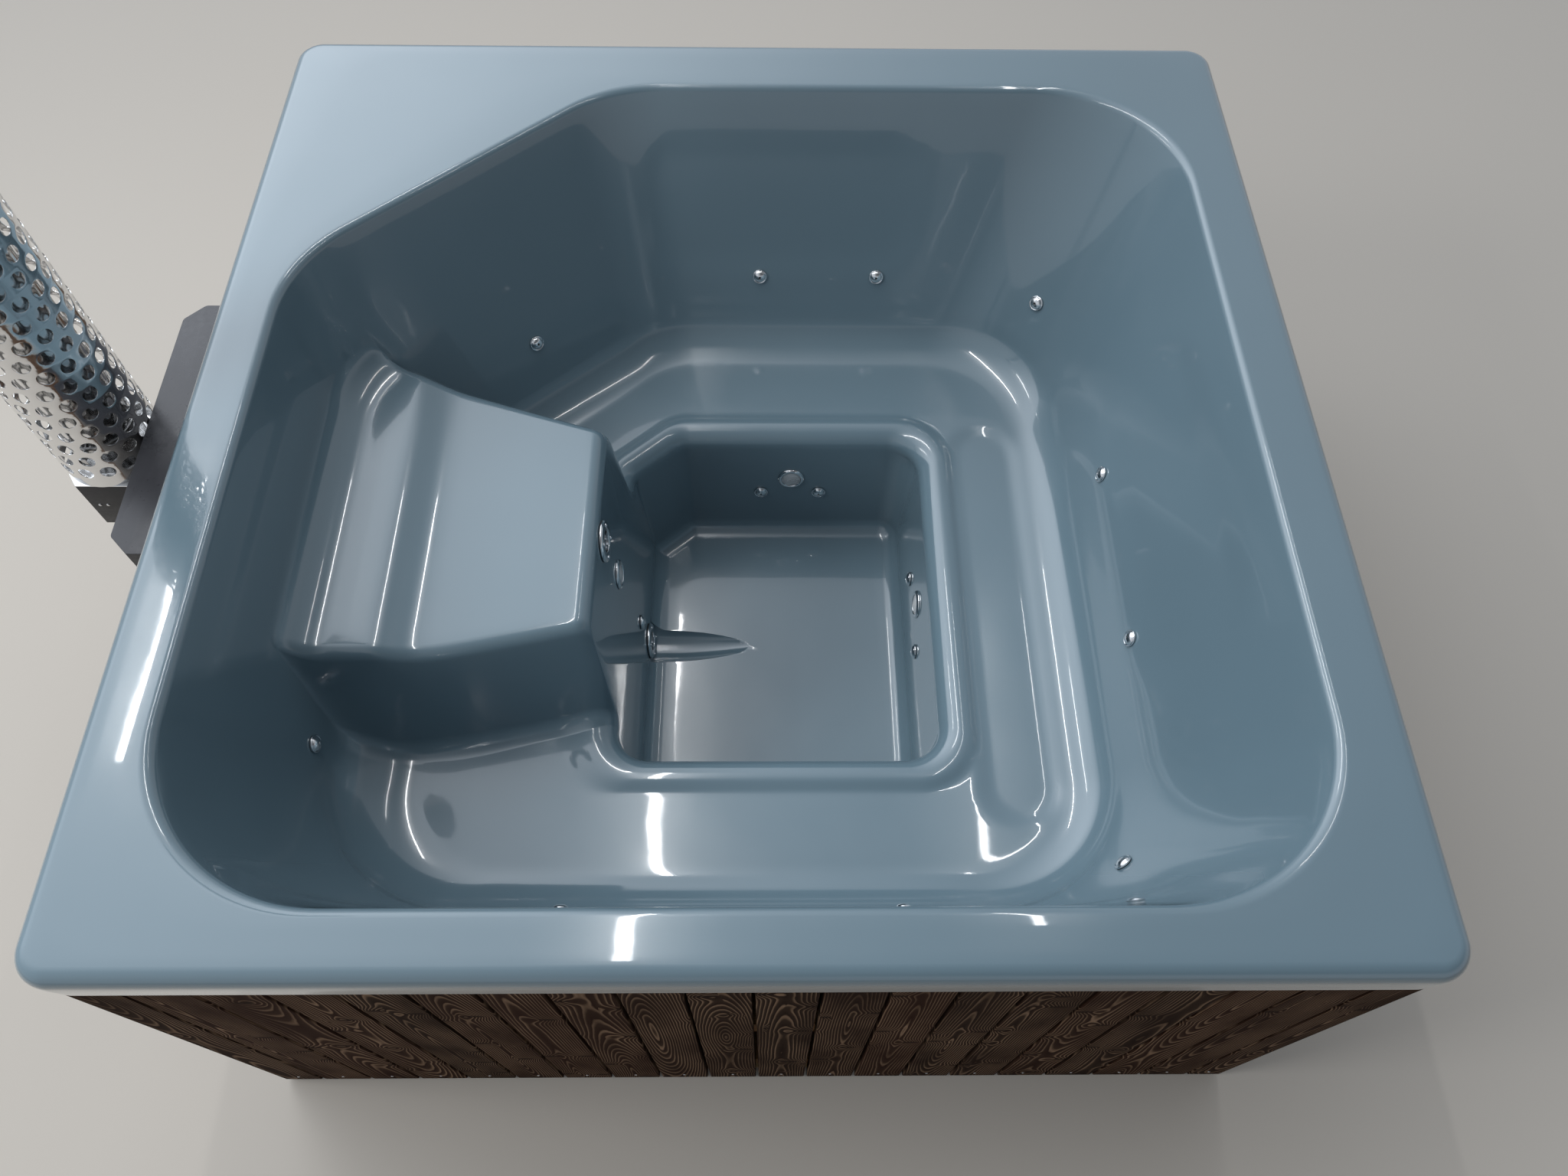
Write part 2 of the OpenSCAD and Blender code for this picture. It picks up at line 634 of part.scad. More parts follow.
module board_nails() {
    color("gainsboro") {
        for (z = [nail_low, flange_z - rail_h / 2 - 20]) {
            for (a = [0, 180]) rotate(a) nail_row(front_spans, z);
            rotate(90) nail_row(side_spans, z);
        }
        rotate(-90) nail_row([for (s = side_spans)
            if (!over_stove([-s[1], -s[0]]) && s[0] > -front_y + front_w / 2) s], nail_low);
    }
}

// A timber along X at a depth behind the near boards
module timber(x0, x1, z0, z1) {
    translate([x0, -board_in, z0]) cube([x1 - x0, timber_t, z1 - z0]);
}
rail_top = flange_z - seat_gap;
rail_low = rail_top - rail_h;
mid_z = bench_z - shell_t;
module square_of_rails(z0, z1) {
    for (a = [0, 180]) rotate(a) timber(-board_in, board_in, z0, z1);
    for (a = [90, 270]) rotate(a) timber(-frame_in, frame_in, z0, z1);
}
module top_rails() {
    color("burlywood") square_of_rails(rail_low, rail_top);
}
module base_rails() {
    color("burlywood") square_of_rails(0, base_h);
}
module mid_rails() {
    color("burlywood") {
        for (a = [0, 90, 180]) rotate(a) timber(-frame_in, frame_in, mid_z - rail_h / 2,
            mid_z + rail_h / 2);
        rotate(-90) {
            timber(-frame_in, -stove_y1 - timber_t, mid_z - rail_h / 2, mid_z + rail_h / 2);
            timber(-stove_y0 + timber_t, frame_in, mid_z - rail_h / 2, mid_z + rail_h / 2);
        }
    }
}
module corner_posts() {
    color("burlywood") for (a = [0:90:270]) rotate(a) timber(frame_in, board_in, base_top,
        rail_low);
}
module stove_studs() {
    color("burlywood") rotate(-90) {
        timber(-stove_y1 - timber_t, -stove_y1, base_top, rail_low);
        timber(-stove_y0, -stove_y0 + timber_t, base_top, rail_low);
    }
}
joist_step = frame_in * 2 / 5;
module base_joists() {
    color("burlywood") for (x = [-2:2]) translate([x * joist_step - timber_t / 2, -frame_in, 0])
        cube([timber_t, 2 * frame_in, base_h]);
}
module base_board() {
    w = 2 * (board_in - seat_gap);
    color("tan") translate([-w / 2, -w / 2, base_h]) cube([w, w, base_board_t]);
}
pad_w = 60;
module footwell_pads() {
    color("dimgray") for (x = [channel_l / 4, well_right - pad_w * 1.8])
        translate([x, -well_near * 0.8, base_top])
            cube([pad_w, well_near * 1.35, floor_z - shell_t - seat_gap - base_top]);
}
prop_head = 140;
prop_in = 60;            // the props stand this far in from the middle of the bench
prop_near_in = 55;
module bench_props() {
    top = dish_z - shell_t - seat_gap;
    xr = (well_right + half - flat_right) / 2 - prop_in;
    yn = (well_near + half - flat_near) / 2 - prop_near_in;
    yf = (well_far + half - flat_far) / 2 - prop_in;
    color("burlywood") for (p = [[-well_left * 0.9, -yn], [well_right * 0.8, -yn],
        [xr, -well_near * 0.45], [xr, well_far * 0.7], [well_right * 0.35, yf]]) {
        translate([p[0] - timber_t / 2, p[1] - timber_t / 2, base_top])
            cube([timber_t, timber_t, top - timber_t - base_top]);
        translate([p[0] - prop_head / 2, p[1] - timber_t / 2, top - timber_t])
            cube([prop_head, timber_t, timber_t]);
    }
}

// Jets: a domed head with its stem through the shell, a gasket, a nut and a body behind
all_jets = concat(bowl_jets, foot_jets);
module jet_heads() {
    r = jet_d / 2;
    color("silver") for (f = all_jets) at(f) difference() {
        rotate_extrude() polygon(concat([[0, body_top - 10], [stem_r, body_top - 10],
            [stem_r, gasket_t], [r, gasket_t], [r, gasket_t + 1.6]],
            [for (a = [15:15:75]) [(r - 1) * cos(a), gasket_t + 1.6 + (jet_dome - 1.6) * sin(a)]],
            [[0, gasket_t + jet_dome]]));
        translate([0, 0, body_top - 11]) cylinder(r = stem_r - 4, h = 12 - body_top);
        cylinder(r = 2.5, h = jet_dome * 2);
        for (a = [0:60:300]) rotate(a) translate([r * 0.55, 0, 0]) cylinder(r = 1.2,
            h = jet_dome * 2, $fn = 16);
    }
}
module ring(r_out, r_in, z0, z1) {
    translate([0, 0, z0]) difference() {
        cylinder(r = r_out, h = z1 - z0);
        translate([0, 0, -1]) cylinder(r = r_in, h = z1 - z0 + 2);
    }
}
module hex_nut(r_out, r_in, z0, z1) {
    translate([0, 0, z0]) difference() {
        cylinder(r = r_out, h = z1 - z0, $fn = 6);
        translate([0, 0, -1]) cylinder(r = r_in, h = z1 - z0 + 2);
    }
}
module jet_gaskets() {
    color("black") for (f = all_jets) at(f) ring(jet_d / 2 - 1, stem_r + seat_gap, 0, gasket_t);
}
module jet_nuts() {
    color("white") for (f = all_jets) at(f) hex_nut(body_r, stem_r + 0.1, back - nut_h, back);
}
module jet_bodies() {
    color("white") for (f = all_jets) at(f) difference() {
        translate([0, 0, body_top - body_l]) cylinder(r = body_r, h = body_l);
        translate([0, 0, body_top - body_l + 4]) cylinder(r = stem_r + 0.1, h = body_l);
    }
}

// Air mains: bent pipes that run round below the jets' bodies
main_r = air_d / 2;
main_drop = 75;
socket = 2.5;            // bends are sockets, this much larger than the pipes that end in them
overlap = 12;
main_z = rim_h - jet_depth - main_drop;
main_ring = [[for (i = [0:4]) rim_d[i] - leans[i] * jet_depth + reach * cos(atan(leans[i]))],
    [for (i = [0:4]) wall_foot_r[i] + reach], [for (i = [0:4]) main_z]];
foot_drop = 55;          // the footwell's main runs this far below its jets
foot_main_z = foot_jet_z - foot_drop;
blower_r = 95;
blower_tap = 0.86;       // the main leaves the blower at this share of its height
blower_h = (foot_main_z - base_top) / blower_tap;
foot_ring = [[for (i = [0:4]) well_d[i] - well_lean * (bench_z - foot_jet_z) + reach],
    [for (i = [0:4]) 70], [for (i = [0:4]) foot_main_z]];
module bend(ring_at, i, r) {
    c = corner(ring_at, i);
    a0 = side_a[i == 0 ? 4 : i - 1];
    a1 = side_a[i == 0 ? 5 : i];
    translate([c[0], c[1], ring_at[2][0]]) rotate(i == 0 ? 180 : a0)
        rotate_extrude(angle = i == 0 ? 90 : a1 - a0) translate([ring_at[1][i], 0]) circle(r = r);
}
function bend_end(ring_at, i, last) =
    let (a = side_a[last ? (i == 0 ? 5 : i) : (i == 0 ? 4 : i - 1)])
    concat(corner(ring_at, i) + ring_at[1][i] * dir(a), [ring_at[2][0]]);
module rod(a, b, r, grow = 0) {
    e = grow * (b - a) / norm(b - a);
    stick(a - e, b + e, r);
}
module stick(a, b, r) {
    translate(a) rotate([0, acos((b - a)[2] / norm(b - a)), atan2((b - a)[1], (b - a)[0])])
        cylinder(r = r, h = norm(b - a));
}
module main_run(r) {
    for (i = [0:3]) bend(main_ring, i, r + socket);
    for (i = [0:2]) rod(bend_end(main_ring, i, true), bend_end(main_ring, i + 1, false), r,
        overlap);
    p = bend_end(main_ring, 0, false);
    rod([p[0], bowl_jets[9][0][1] + 2 * main_r, p[2]], p, r, overlap);
    q = bend_end(main_ring, 3, true);
    rod(q, q + concat((corner_reach + 2 * main_r) * dir(side_a[3] + 90), [0]), r, overlap);
}
corner_reach = norm([for (k = [0:1]) (wall_jet(3, 0)[0]
    - bend_end(main_ring, 3, true))[k]]);
blower_c = corner(main_ring, 0) + main_ring[1][0] * dir(225);
foot_start = [blower_c[0] + blower_r, blower_c[1], foot_main_z];
foot_turn = [foot_ring[0][1], blower_c[1], foot_main_z];
foot_end = [-foot_ring[0][4], foot_jets[4][0][1], foot_main_z];
module foot_run(r) {
    for (i = [2:4]) bend(foot_ring, i, r + socket);
    for (i = [2:3]) rod(bend_end(foot_ring, i, true), bend_end(foot_ring, i + 1, false), r,
        overlap);
    stick(foot_start, foot_turn, r);
    translate(foot_turn) sphere(r = r + 2 * socket);
    stick(foot_turn, bend_end(foot_ring, 2, false) + [0, overlap, 0], r);
    rod(bend_end(foot_ring, 4, true), foot_end - [0, 2 * main_r, 0], r, overlap);
}
riser_top = [blower_c[0], blower_c[1], main_z - main_r * 0.8];
module air_main() {
    color("white") {
        main_run(main_r);
        rod([blower_c[0], blower_c[1], base_top + blower_h], riser_top, main_r * 0.8);
    }
}
module foot_air_main() {
    color("white") foot_run(main_r);
}
function take(f) = f[0] - reach * f[1];
module air_drops() {
    color("white") difference() {
        union() {
            for (f = bowl_jets) translate([take(f)[0], take(f)[1], main_z])
                cylinder(r = drop_r, h = take(f)[2] - main_z);
            for (f = foot_jets) translate([take(f)[0], take(f)[1], foot_main_z])
                cylinder(r = drop_r, h = take(f)[2] - foot_main_z);
        }
        for (f = all_jets) at(f) translate([0, 0, body_top - body_l - seat_gap])
            cylinder(r = body_r + seat_gap, h = body_l + 2 * seat_gap);
        main_run(main_r + seat_gap);
        foot_run(main_r + seat_gap);
    }
}
module blower() {
    color("dimgray") translate([blower_c[0], blower_c[1], base_top]) {
        cylinder(r = blower_r * 0.6, h = blower_h - 20);
        translate([0, 0, 30]) cylinder(r = blower_r, h = blower_h - 70);
        cylinder(r = blower_r * 0.8, h = 8);
        translate([0, 0, blower_h - 20]) cylinder(r = main_r + 6, h = 20);
        translate([0, 0, foot_main_z - base_top]) rotate([0, 90, 0])
            cylinder(r = main_r + 5, h = blower_r);
    }
}

// Lights: a housing through the shell, a nut behind it, a bezel and a domed lens
light_back = 55;
module light_bezels() {
    color("lightgray") for (f = lights) at(f) rotate_extrude() polygon([
        [lens_d / 2 + seat_gap, seat_gap], [light_d / 2, seat_gap], [light_d / 2, 2.5],
        [light_d / 2 - 3, 5.5], [lens_d / 2 + 3, 6.5], [lens_d / 2 + seat_gap, 5]]);
}
module light_lenses() {
    r = lens_d / 2;
    color("white") for (f = lights) at(f) rotate_extrude() polygon(concat([[0, -4.7],
        [r - 1, -4.7], [r - 1, 0], [r, 0.3]],
        [for (a = [15:15:75]) [r * cos(a), 4 + 4 * sin(a)]], [[0, 8]]));
}
module light_housings() {
    color("white") for (f = lights) at(f) translate([0, 0, -light_back]) difference() {
        cylinder(r = housing_r, h = light_back);
        translate([0, 0, light_back - 5]) cylinder(r = lens_d / 2 - 0.7, h = 6);
        translate([0, 0, 6]) cylinder(r = housing_r - 5, h = light_back - 7 - 6);
    }
}
module light_nuts() {
    color("white") for (f = lights) at(f) hex_nut(housing_r + 10, housing_r + 0.1,
        back - nut_h, back);
}

// Water ports: a screwed flange with its tail through the shell, a gasket and a nut ring
module port_flanges() {
    r = port_d / 2;
    color("silver") for (f = ports) at(f) difference() {
        union() {
            rotate_extrude() polygon([[0, gasket_t], [r, gasket_t], [r, gasket_t + 2],
                [r - 3, gasket_t + flange_t - 1], [r - 8, gasket_t + flange_t], [0, gasket_t + flange_t]]);
            translate([0, 0, -tail_l]) cylinder(r = tail_r, h = tail_l + gasket_t + 1);
        }
        translate([0, 0, -tail_l - 1]) cylinder(r = port_bore / 2, h = tail_l + 20);
        for (a = [45:90:315]) rotate(a) translate([screw_ring, 0, -1])
            cylinder(r = screw_r + 0.2, h = 20);
    }
}
module port_screws() {
    color("silver") for (f = ports) at(f) for (a = [45:90:315]) rotate(a)
        translate([screw_ring, 0, 0]) {
            rotate_extrude() polygon([[0, gasket_t + flange_t], [4.2, gasket_t + flange_t],
                [4.2, gasket_t + flange_t + 0.8], [2.5, gasket_t + flange_t + 2.2],
                [0, gasket_t + flange_t + 2.4]]);
            translate([0, 0, back - 10]) cylinder(r = screw_r, h = gasket_t + flange_t + 10 - back);
        }
}
module port_gaskets() {
    color("black") for (f = ports) at(f) difference() {
        ring(port_d / 2 - 1, tail_r + seat_gap, 0, gasket_t);
        for (a = [45:90:315]) rotate(a) translate([screw_ring, 0, -1])
            cylinder(r = screw_r + 0.2, h = 5);
    }
}
module port_nuts() {
    color("white") for (f = ports) at(f) difference() {
        rotate_extrude() polygon([[tail_r + 0.1, back - 12], [port_nut_r, back - 12],
            [port_nut_r, back - 2.5], [port_nut_r - 2, back], [tail_r + 0.1, back]]);
        for (a = [45:90:315]) rotate(a) translate([screw_ring, 0, back - 11])
            cylinder(r = screw_r + 0.1, h = 20);
    }
}

// Hoses: each runs straight from its port's tail to the stove's nipple on the same axis
hose_start = 30;
nipple_l = 45;
nipple_gap = 10;
hose_in = tail_r + 0.15;
hose_r = tail_r + hose_t;
tilt = atan(well_lean);
function nipple_at(f) = (f[0][0] - jacket_in) / cos(tilt);
module hose(f) {
    color("darkslategray") at(f) ring(hose_r, hose_in, nipple_gap - nipple_at(f), -hose_start);
}
module upper_hose() {
    hose(port_high);
}
module lower_hose() {
    hose(port_low);
}
clamp_w = 12;
module clamp_band() {
    ring(hose_r + 1.5, hose_r + 0.1, 0, clamp_w);
    translate([hose_r + 1.2, -9, 0]) cube([9, 18, clamp_w]);
}
module hose_clamps() {
    color("silver") for (f = ports) {
        for (z = [-hose_start - 18, nipple_gap + 8 - nipple_at(f)]) at(f)
            translate([0, 0, z]) rotate(90) clamp_band();
    }
}

// Stove: a firebox with water all round it, a cased fire end, and a smoke box on its face
module slab(x, y, z) {
    translate([x[0], y[0], z[0]]) cube([x[1] - x[0], y[1] - y[0], z[1] - z[0]]);
}
function around(c, h) = [c - h, c + h];
fire_y = around(front_y, fire_w / 2);
jacket_y = around(front_y, jacket_half);
duct_x = [plate_in, plate_in + duct_l + 2 * duct_t];
duct_y = around(front_y, duct_w / 2);
window_z = [box_z0 + 10, duct_top - duct_t];
drain_side = 150;
drain_x = fire_in - fire_l / 2;
drain_y = front_y - front_w / 2 - drain_side;
drain_z = jacket_low + skin;
drain_bore = drain_d / 2 - 3.5;
ledge_w = 12;
module jacket_body() {
    difference() {
        union() {
            slab([plate_in, jacket_in], jacket_y, [jacket_low, jacket_top]);
            slab(duct_x, around(front_y, duct_w / 2 + duct_t), [jacket_top - 1, duct_top]);
            for (f = ports) at(f) translate([0, 0, -nipple_at(f) - sheet])
                cylinder(r = tail_r, h = nipple_l + sheet);
        }
        slab([plate_in - 1, fire_in], fire_y, [fire_z0, fire_z1]);
        difference() {
            slab([plate_in + sheet, jacket_in - sheet], around(front_y, jacket_half - sheet),
                [jacket_low + sheet, jacket_top - sheet]);
            slab([plate_in, fire_in + fire_sheet], around(front_y, fire_w / 2 + fire_sheet),
                [fire_z0 - fire_sheet, fire_z1 + fire_sheet]);
            slab(duct_x, around(front_y, duct_w / 2 + duct_t), [fire_z1, jacket_top]);
        }
        slab([duct_x[0] + duct_t, duct_x[1] - duct_t], duct_y, [fire_z1 - 1, duct_top - duct_t]);
        slab([duct_x[0] - 1, duct_x[0] + 2 * duct_t], duct_y, window_z);
        for (f = ports) at(f) translate([0, 0, -nipple_at(f) - 3 * sheet])
            cylinder(r = port_bore / 2, h = nipple_l + 4 * sheet);
        translate([drain_x, jacket_y[0] - 1, drain_z]) rotate([-90, 0, 0])
            cylinder(r = drain_bore, h = sheet + 2);
    }
}
module water_jacket() {
    color("darkgray") {
        jacket_body();
        for (y = [[fire_y[0], fire_y[0] + ledge_w], [fire_y[1] - ledge_w, fire_y[1]]])
            slab([plate_in + 10, fire_in], y, [grate_z - 6, grate_z]);
    }
}
module jacket_feet() {
    color("dimgray") for (x = [-board_in + pad_w, jacket_in - 2 * pad_w])
        slab([x, x + timber_t], around(front_y, jacket_half - 10), [base_top, jacket_low]);
}
module fire_grate() {
    bar = 18;
    x = [plate_in + 14, fire_in - 4];
    n = floor((x[1] - x[0] - bar) / (2 * bar));
    color("dimgray") difference() {
        slab(x, around(front_y, fire_w / 2 - 3), [grate_z, grate_z + grate_t]);
        for (i = [0:n - 1]) slab([x[0] + bar * (2 * i + 1), x[0] + bar * (2 * i + 1.6)],
            around(front_y, fire_w / 2 - 30), [grate_z - 1, grate_z + grate_t + 1]);
    }
}

// A closed outline with every side moved in by t
function inset(p, t) = let (n = len(p)) [for (i = [0:n - 1])
    let (a = unit(p[i] - p[(i + n - 1) % n]), b = unit(p[(i + 1) % n] - p[i]),
         na = [-a[1], a[0]], nb = [-b[1], b[0]], da = na * p[i] + t, db = nb * p[i] + t,
         det = na[0] * nb[1] - na[1] * nb[0])
    [(da * nb[1] - db * na[1]) / det, (na[0] * db - nb[0] * da) / det]];
function cut_outline(x0, x1, c, h, cx, cy) = [[x0, c - h], [x0, c + h], [x1 + cx, c + h],
    [x1, c + h - cy], [x1, c - h + cy], [x1 + cx, c - h]];
cabinet = cut_outline(-board_out, face_x, front_y, front_w / 2, front_cut, front_cut);
box_outline = cut_outline(face_x, face_x - box_l, front_y, box_w / 2, box_l * 0.18, box_w / 4);
front_low = 40;
mouth_y = around(front_y, mouth_w / 2);
mouth = [mouth_z, mouth_z + mouth_h];
slots = 6;
module stove_front() {
    top = plate_z - plate_t;
    wall = [face_x - 1, plate_in + 1];
    color("dimgray") difference() {
        translate([0, 0, front_low]) linear_extrude(top - front_low) polygon(cabinet);
        translate([0, 0, front_low + front_t]) linear_extrude(top) polygon(inset(cabinet, front_t));
        slab([-board_out - 2 * front_t, -board_out + 1], around(front_y, front_w / 2 - front_t),
            [front_low + front_t, top + 1]);
        slab(wall, mouth_y, mouth);
        slab(wall, around(front_y, ash_w / 2 + 2), [fire_z0, fire_z0 + ash_h + 4]);
        slab(wall, duct_y, window_z);
        for (i = [0:slots - 1], s = [-1, 1])
            slab([-board_out - 85, -board_out - 25], around(front_y + s * front_w / 2, front_t + 1),
                around(front_low + 90 + 24 * i, 4));
    }
}
module stove_plate() {
    color("dimgray") translate([0, 0, plate_z - plate_t]) linear_extrude(plate_t)
        polygon(cabinet);
}
box_lid = 2;
module smoke_box() {
    color("dimgray") difference() {
        translate([0, 0, box_z0]) linear_extrude(box_h - box_lid) polygon(box_outline);
        translate([0, 0, box_z0 + sheet]) linear_extrude(box_h) polygon(inset(box_outline, sheet));
        slab([face_x - 2 * sheet, face_x + 1], duct_y, [window_z[0], window_z[1]]);
    }
}
module smoke_box_plate() {
    color("silver") translate([0, 0, box_z1 - box_lid]) difference() {
        linear_extrude(box_lid) polygon(box_outline);
        translate([flue_x, front_y, -1]) cylinder(d = flue_d + 2 * seat_gap, h = box_lid + 2);
    }
}
rivet_d = 7;
module front_rivets() {
    color("silver") for (x = [49, 64]) translate([face_x - box_l + x, front_y - box_w / 2,
        box_z1 - box_h / 2]) rotate([90, 0, 0]) cylinder(d1 = rivet_d, d2 = rivet_d - 3, h = 2);
}

// Flue, its perforated guard and the cap
module flue_pipe() {
    color("silver") translate([flue_x, front_y, 0]) difference() {
        union() {
            translate([0, 0, box_z1 - 20]) cylinder(d = flue_d, h = flue_top - box_z1 + 20);
            translate([0, 0, box_z1]) cylinder(d = flue_d + 30, h = 3);
        }
        translate([0, 0, box_z1 - 21]) cylinder(d = flue_d - 2 * flue_t,
            h = flue_top - box_z1 + 22);
    }
}
guard_r = guard_d / 2;
guard_first = 41;
guard_rows = floor((guard_h - 2 * guard_first) / guard_row) + 1;
guard_a = -71.5;
lap_a = 14;
module flue_guard() {
    step = 360 / guard_holes;
    color("silver") translate([flue_x, front_y, box_z1]) difference() {
        union() {
            ring(guard_r, guard_r - flue_t, 0, guard_h);
            rotate(guard_a + step * 4.5 - lap_a / 2) rotate_extrude(angle = lap_a)
                translate([guard_r - 0.2, 0]) square([1.2, guard_h]);
        }
        for (k = [0:guard_rows - 1], i = [0:guard_holes - 1])
            rotate(guard_a + step * (i + (k % 2) / 2))
                translate([guard_r - 2 * flue_t, 0, guard_first + k * guard_row])
                    rotate([0, 90, 0]) cylinder(d = guard_hole_d, h = 5 * flue_t, $fn = 24);
    }
}
spacer_h = 16;
module guard_spacers() {
    r = flue_d / 2 + 0.1;
    color("silver") for (z = [box_z1 + 4 * spacer_h, box_z1 + guard_h - 4 * spacer_h])
        translate([flue_x, front_y, z]) {
            ring(r + 2, r, 0, spacer_h);
            for (a = [30, 150, 270]) rotate(a) {
                translate([r + 1.5, -1, 0]) cube([guard_r - flue_t - r - 2.6, 2, spacer_h]);
                translate([guard_r - flue_t - 3, -9, 0]) cube([1.8, 18, spacer_h]);
            }
        }
}
cap_r = 125;
cap_h = 42;
cap_up = 55;
module rain_cap() {
    r = flue_d / 2 + 0.1;
    color("silver") translate([flue_x, front_y, flue_top]) {
        ring(r + flue_t, r, -25, 0);
        for (a = [90, 210, 330]) rotate(a) translate([r + 0.5, -9, -25])
            cube([2, 18, 25 + cap_up + cap_h * (1 - r / cap_r)]);
        rotate_extrude() polygon([[0, cap_up + cap_h], [cap_r, cap_up], [cap_r, cap_up - 8],
            [cap_r - 1.5, cap_up - 8], [cap_r - 1.5, cap_up - 1], [0, cap_up + cap_h - 2]]);
    }
}

// Fire door with its hinges, latch and air slide
door_y = around(front_y, mouth_w / 2 + door_lap);
door_z = [mouth[0] - door_lap, mouth[1] + door_lap];
door_x = [face_x - seat_gap - door_t, face_x - seat_gap];
knuckle_r = pin_d / 2 + 5;
knuckle_h = 30;
hinge_x = face_x - knuckle_r - 2;
hinge_y = door_y[1] + knuckle_r + 4;
lug_h = 20;
hinge_z = [door_z[0] + 40, door_z[1] - 40 - knuckle_h];
latch_y = mouth_y[0] + 10;
latch_z = (door_z[0] + door_z[1]) / 2;
boss_x = door_x[0] - 6;
bar_t = 8;
bar_h = 12;
nose_l = 62;
latch_open = 12;
air_z = mouth[0] + 38;
air_hole_r = 9;
air_holes = [for (i = [-1.5:1:1.5]) front_y + 40 * i];
slide_h = 20;
slide_t = 3;
slide_y = [air_holes[0] - 25, air_holes[3] + 45];
slide_x = [door_x[0] - seat_gap - slide_t, door_x[0] - seat_gap];
slide_travel = 20;
module fire_door() {
    color("dimgray") difference() {
        union() {
            slab(door_x, door_y, door_z);
            slab([door_x[0] - 3, door_x[0]], around(front_y, mouth_w / 2 - 20),
                [air_z + 2 * slide_h, mouth[1]]);
            translate([boss_x, latch_y, latch_z]) rotate([0, 90, 0]) cylinder(r = bar_h, h = 6);
            for (z = hinge_z) {
                translate([hinge_x, hinge_y, z]) cylinder(r = knuckle_r, h = knuckle_h);
                slab([hinge_x - knuckle_r + 1, door_x[1]], [door_y[1] - 1, hinge_y], [z, z + knuckle_h]);
            }
        }
        for (z = hinge_z) translate([hinge_x, hinge_y, z - 1])
            cylinder(r = pin_d / 2 + pin_fit, h = knuckle_h + 2);
        for (y = air_holes) translate([door_x[0] - 1, y, air_z]) rotate([0, 90, 0])
            cylinder(r = air_hole_r, h = door_t + 2);
    }
    color("dimgray") translate([boss_x - bar_t - 2, latch_y, latch_z]) rotate([0, 90, 0])
        cylinder(d = pin_d, h = bar_t + 4);
}
module hinge_brackets() {
    color("dimgray") for (z = hinge_z) difference() {
        translate([0, 0, z - lug_h - seat_gap]) union() {
            translate([hinge_x, hinge_y, 0]) cylinder(r = knuckle_r, h = lug_h);
            slab([hinge_x, face_x], around(hinge_y, 6), [0, lug_h]);
            slab([face_x - 3, face_x], [hinge_y - 6, hinge_y + 30], [0, lug_h]);
        }
        translate([hinge_x, hinge_y, z - lug_h - 1]) cylinder(r = pin_d / 2 + 0.02,
            h = lug_h + 2);
    }
}
module hinge_pins() {
    color("silver") for (z = hinge_z) translate([hinge_x, hinge_y, z - lug_h - seat_gap]) {
        cylinder(d = pin_d, h = lug_h + knuckle_h + 2 * seat_gap);
        translate([0, 0, lug_h + knuckle_h + 2 * seat_gap]) cylinder(r = pin_d / 2 + 3, h = 3);
    }
}
handle_l = 105;
handle_r = 9;
module door_latch() {
    x = boss_x - seat_gap - bar_t;
    color("black") translate([x, latch_y, latch_z]) rotate([-latch_open, 0, 0]) difference() {
        union() {
            rotate([0, 90, 0]) cylinder(r = bar_h, h = bar_t);
            translate([0, -nose_l, -bar_h / 2]) cube([bar_t, nose_l, bar_h]);
            translate([0, 0, -bar_h / 2]) cube([bar_t, handle_l, bar_h]);
            translate([bar_t / 2, handle_l, 0]) rotate([0, -90, 0]) {
                cylinder(r = handle_r - 3, h = 22);
                translate([0, 0, 18]) cylinder(r = handle_r, h = 26);
            }
        }
        translate([-1, 0, 0]) rotate([0, 90, 0]) cylinder(r = pin_d / 2 + pin_fit, h = bar_t + 2);
    }
}
module latch_keeper() {
    y = latch_y - nose_l + 7;
    out = boss_x - bar_t - 10;
    shelf = latch_z - bar_h / 2 - seat_gap;
    color("dimgray") {
        slab([face_x - 3, face_x], around(y, 13), [shelf - 30, shelf + 14]);
        slab([out, face_x - 2], around(y, 9), [shelf - 8, shelf]);
        slab([out, out + 6], around(y, 9), [shelf - 1, shelf + 6]);
    }
}
module air_slide() {
    color("silver") difference() {
        union() {
            slab(slide_x, slide_y, around(air_z, slide_h));
            translate([slide_x[0] - 14, slide_y[1] - 14, air_z]) rotate([0, 90, 0])
                cylinder(r = 7, h = 15);
        }
        for (y = air_holes) translate([slide_x[0] - 1, y, air_z]) rotate([0, 90, 0])
            cylinder(r = air_hole_r, h = slide_t + 2);
    }
}
module slide_guides() {
    color("dimgray") for (s = [-1, 1]) {
        slab([slide_x[0] - 3, door_x[0]], [slide_y[0] - 5, slide_y[1] + slide_travel + 5],
            around(air_z + s * (slide_h + seat_gap + 3), 3));
        slab([slide_x[0] - 3, slide_x[0] - seat_gap],
            [slide_y[0] - 5, slide_y[1] + slide_travel + 5], around(air_z + s * (slide_h - 1), 5));
    }
}
module ash_drawer() {
    t = 2;
    x = [face_x - seat_gap, face_x - seat_gap + ash_l];
    z = [fire_z0 + seat_gap, fire_z0 + ash_h];
    color("gray") {
        difference() {
            slab(x, around(front_y, ash_w / 2), z);
            slab([x[0] + t, x[1] - t], around(front_y, ash_w / 2 - t), [z[0] + t, z[1] + 1]);
        }
        slab([x[0] - 6, x[0]], around(front_y, ash_w / 2 + 12), [fire_z0 - 8, fire_z0 + ash_h + 8]);
    }
}
module ash_knob() {
    color("black") translate([face_x - seat_gap - 6, front_y, fire_z0 + ash_h / 2])
        rotate([0, -90, 0]) rotate_extrude() polygon([[0, 0], [8, 0], [6, 6], [6, 14],
            [13, 20], [13, 28], [10, 31], [0, 31]]);
}

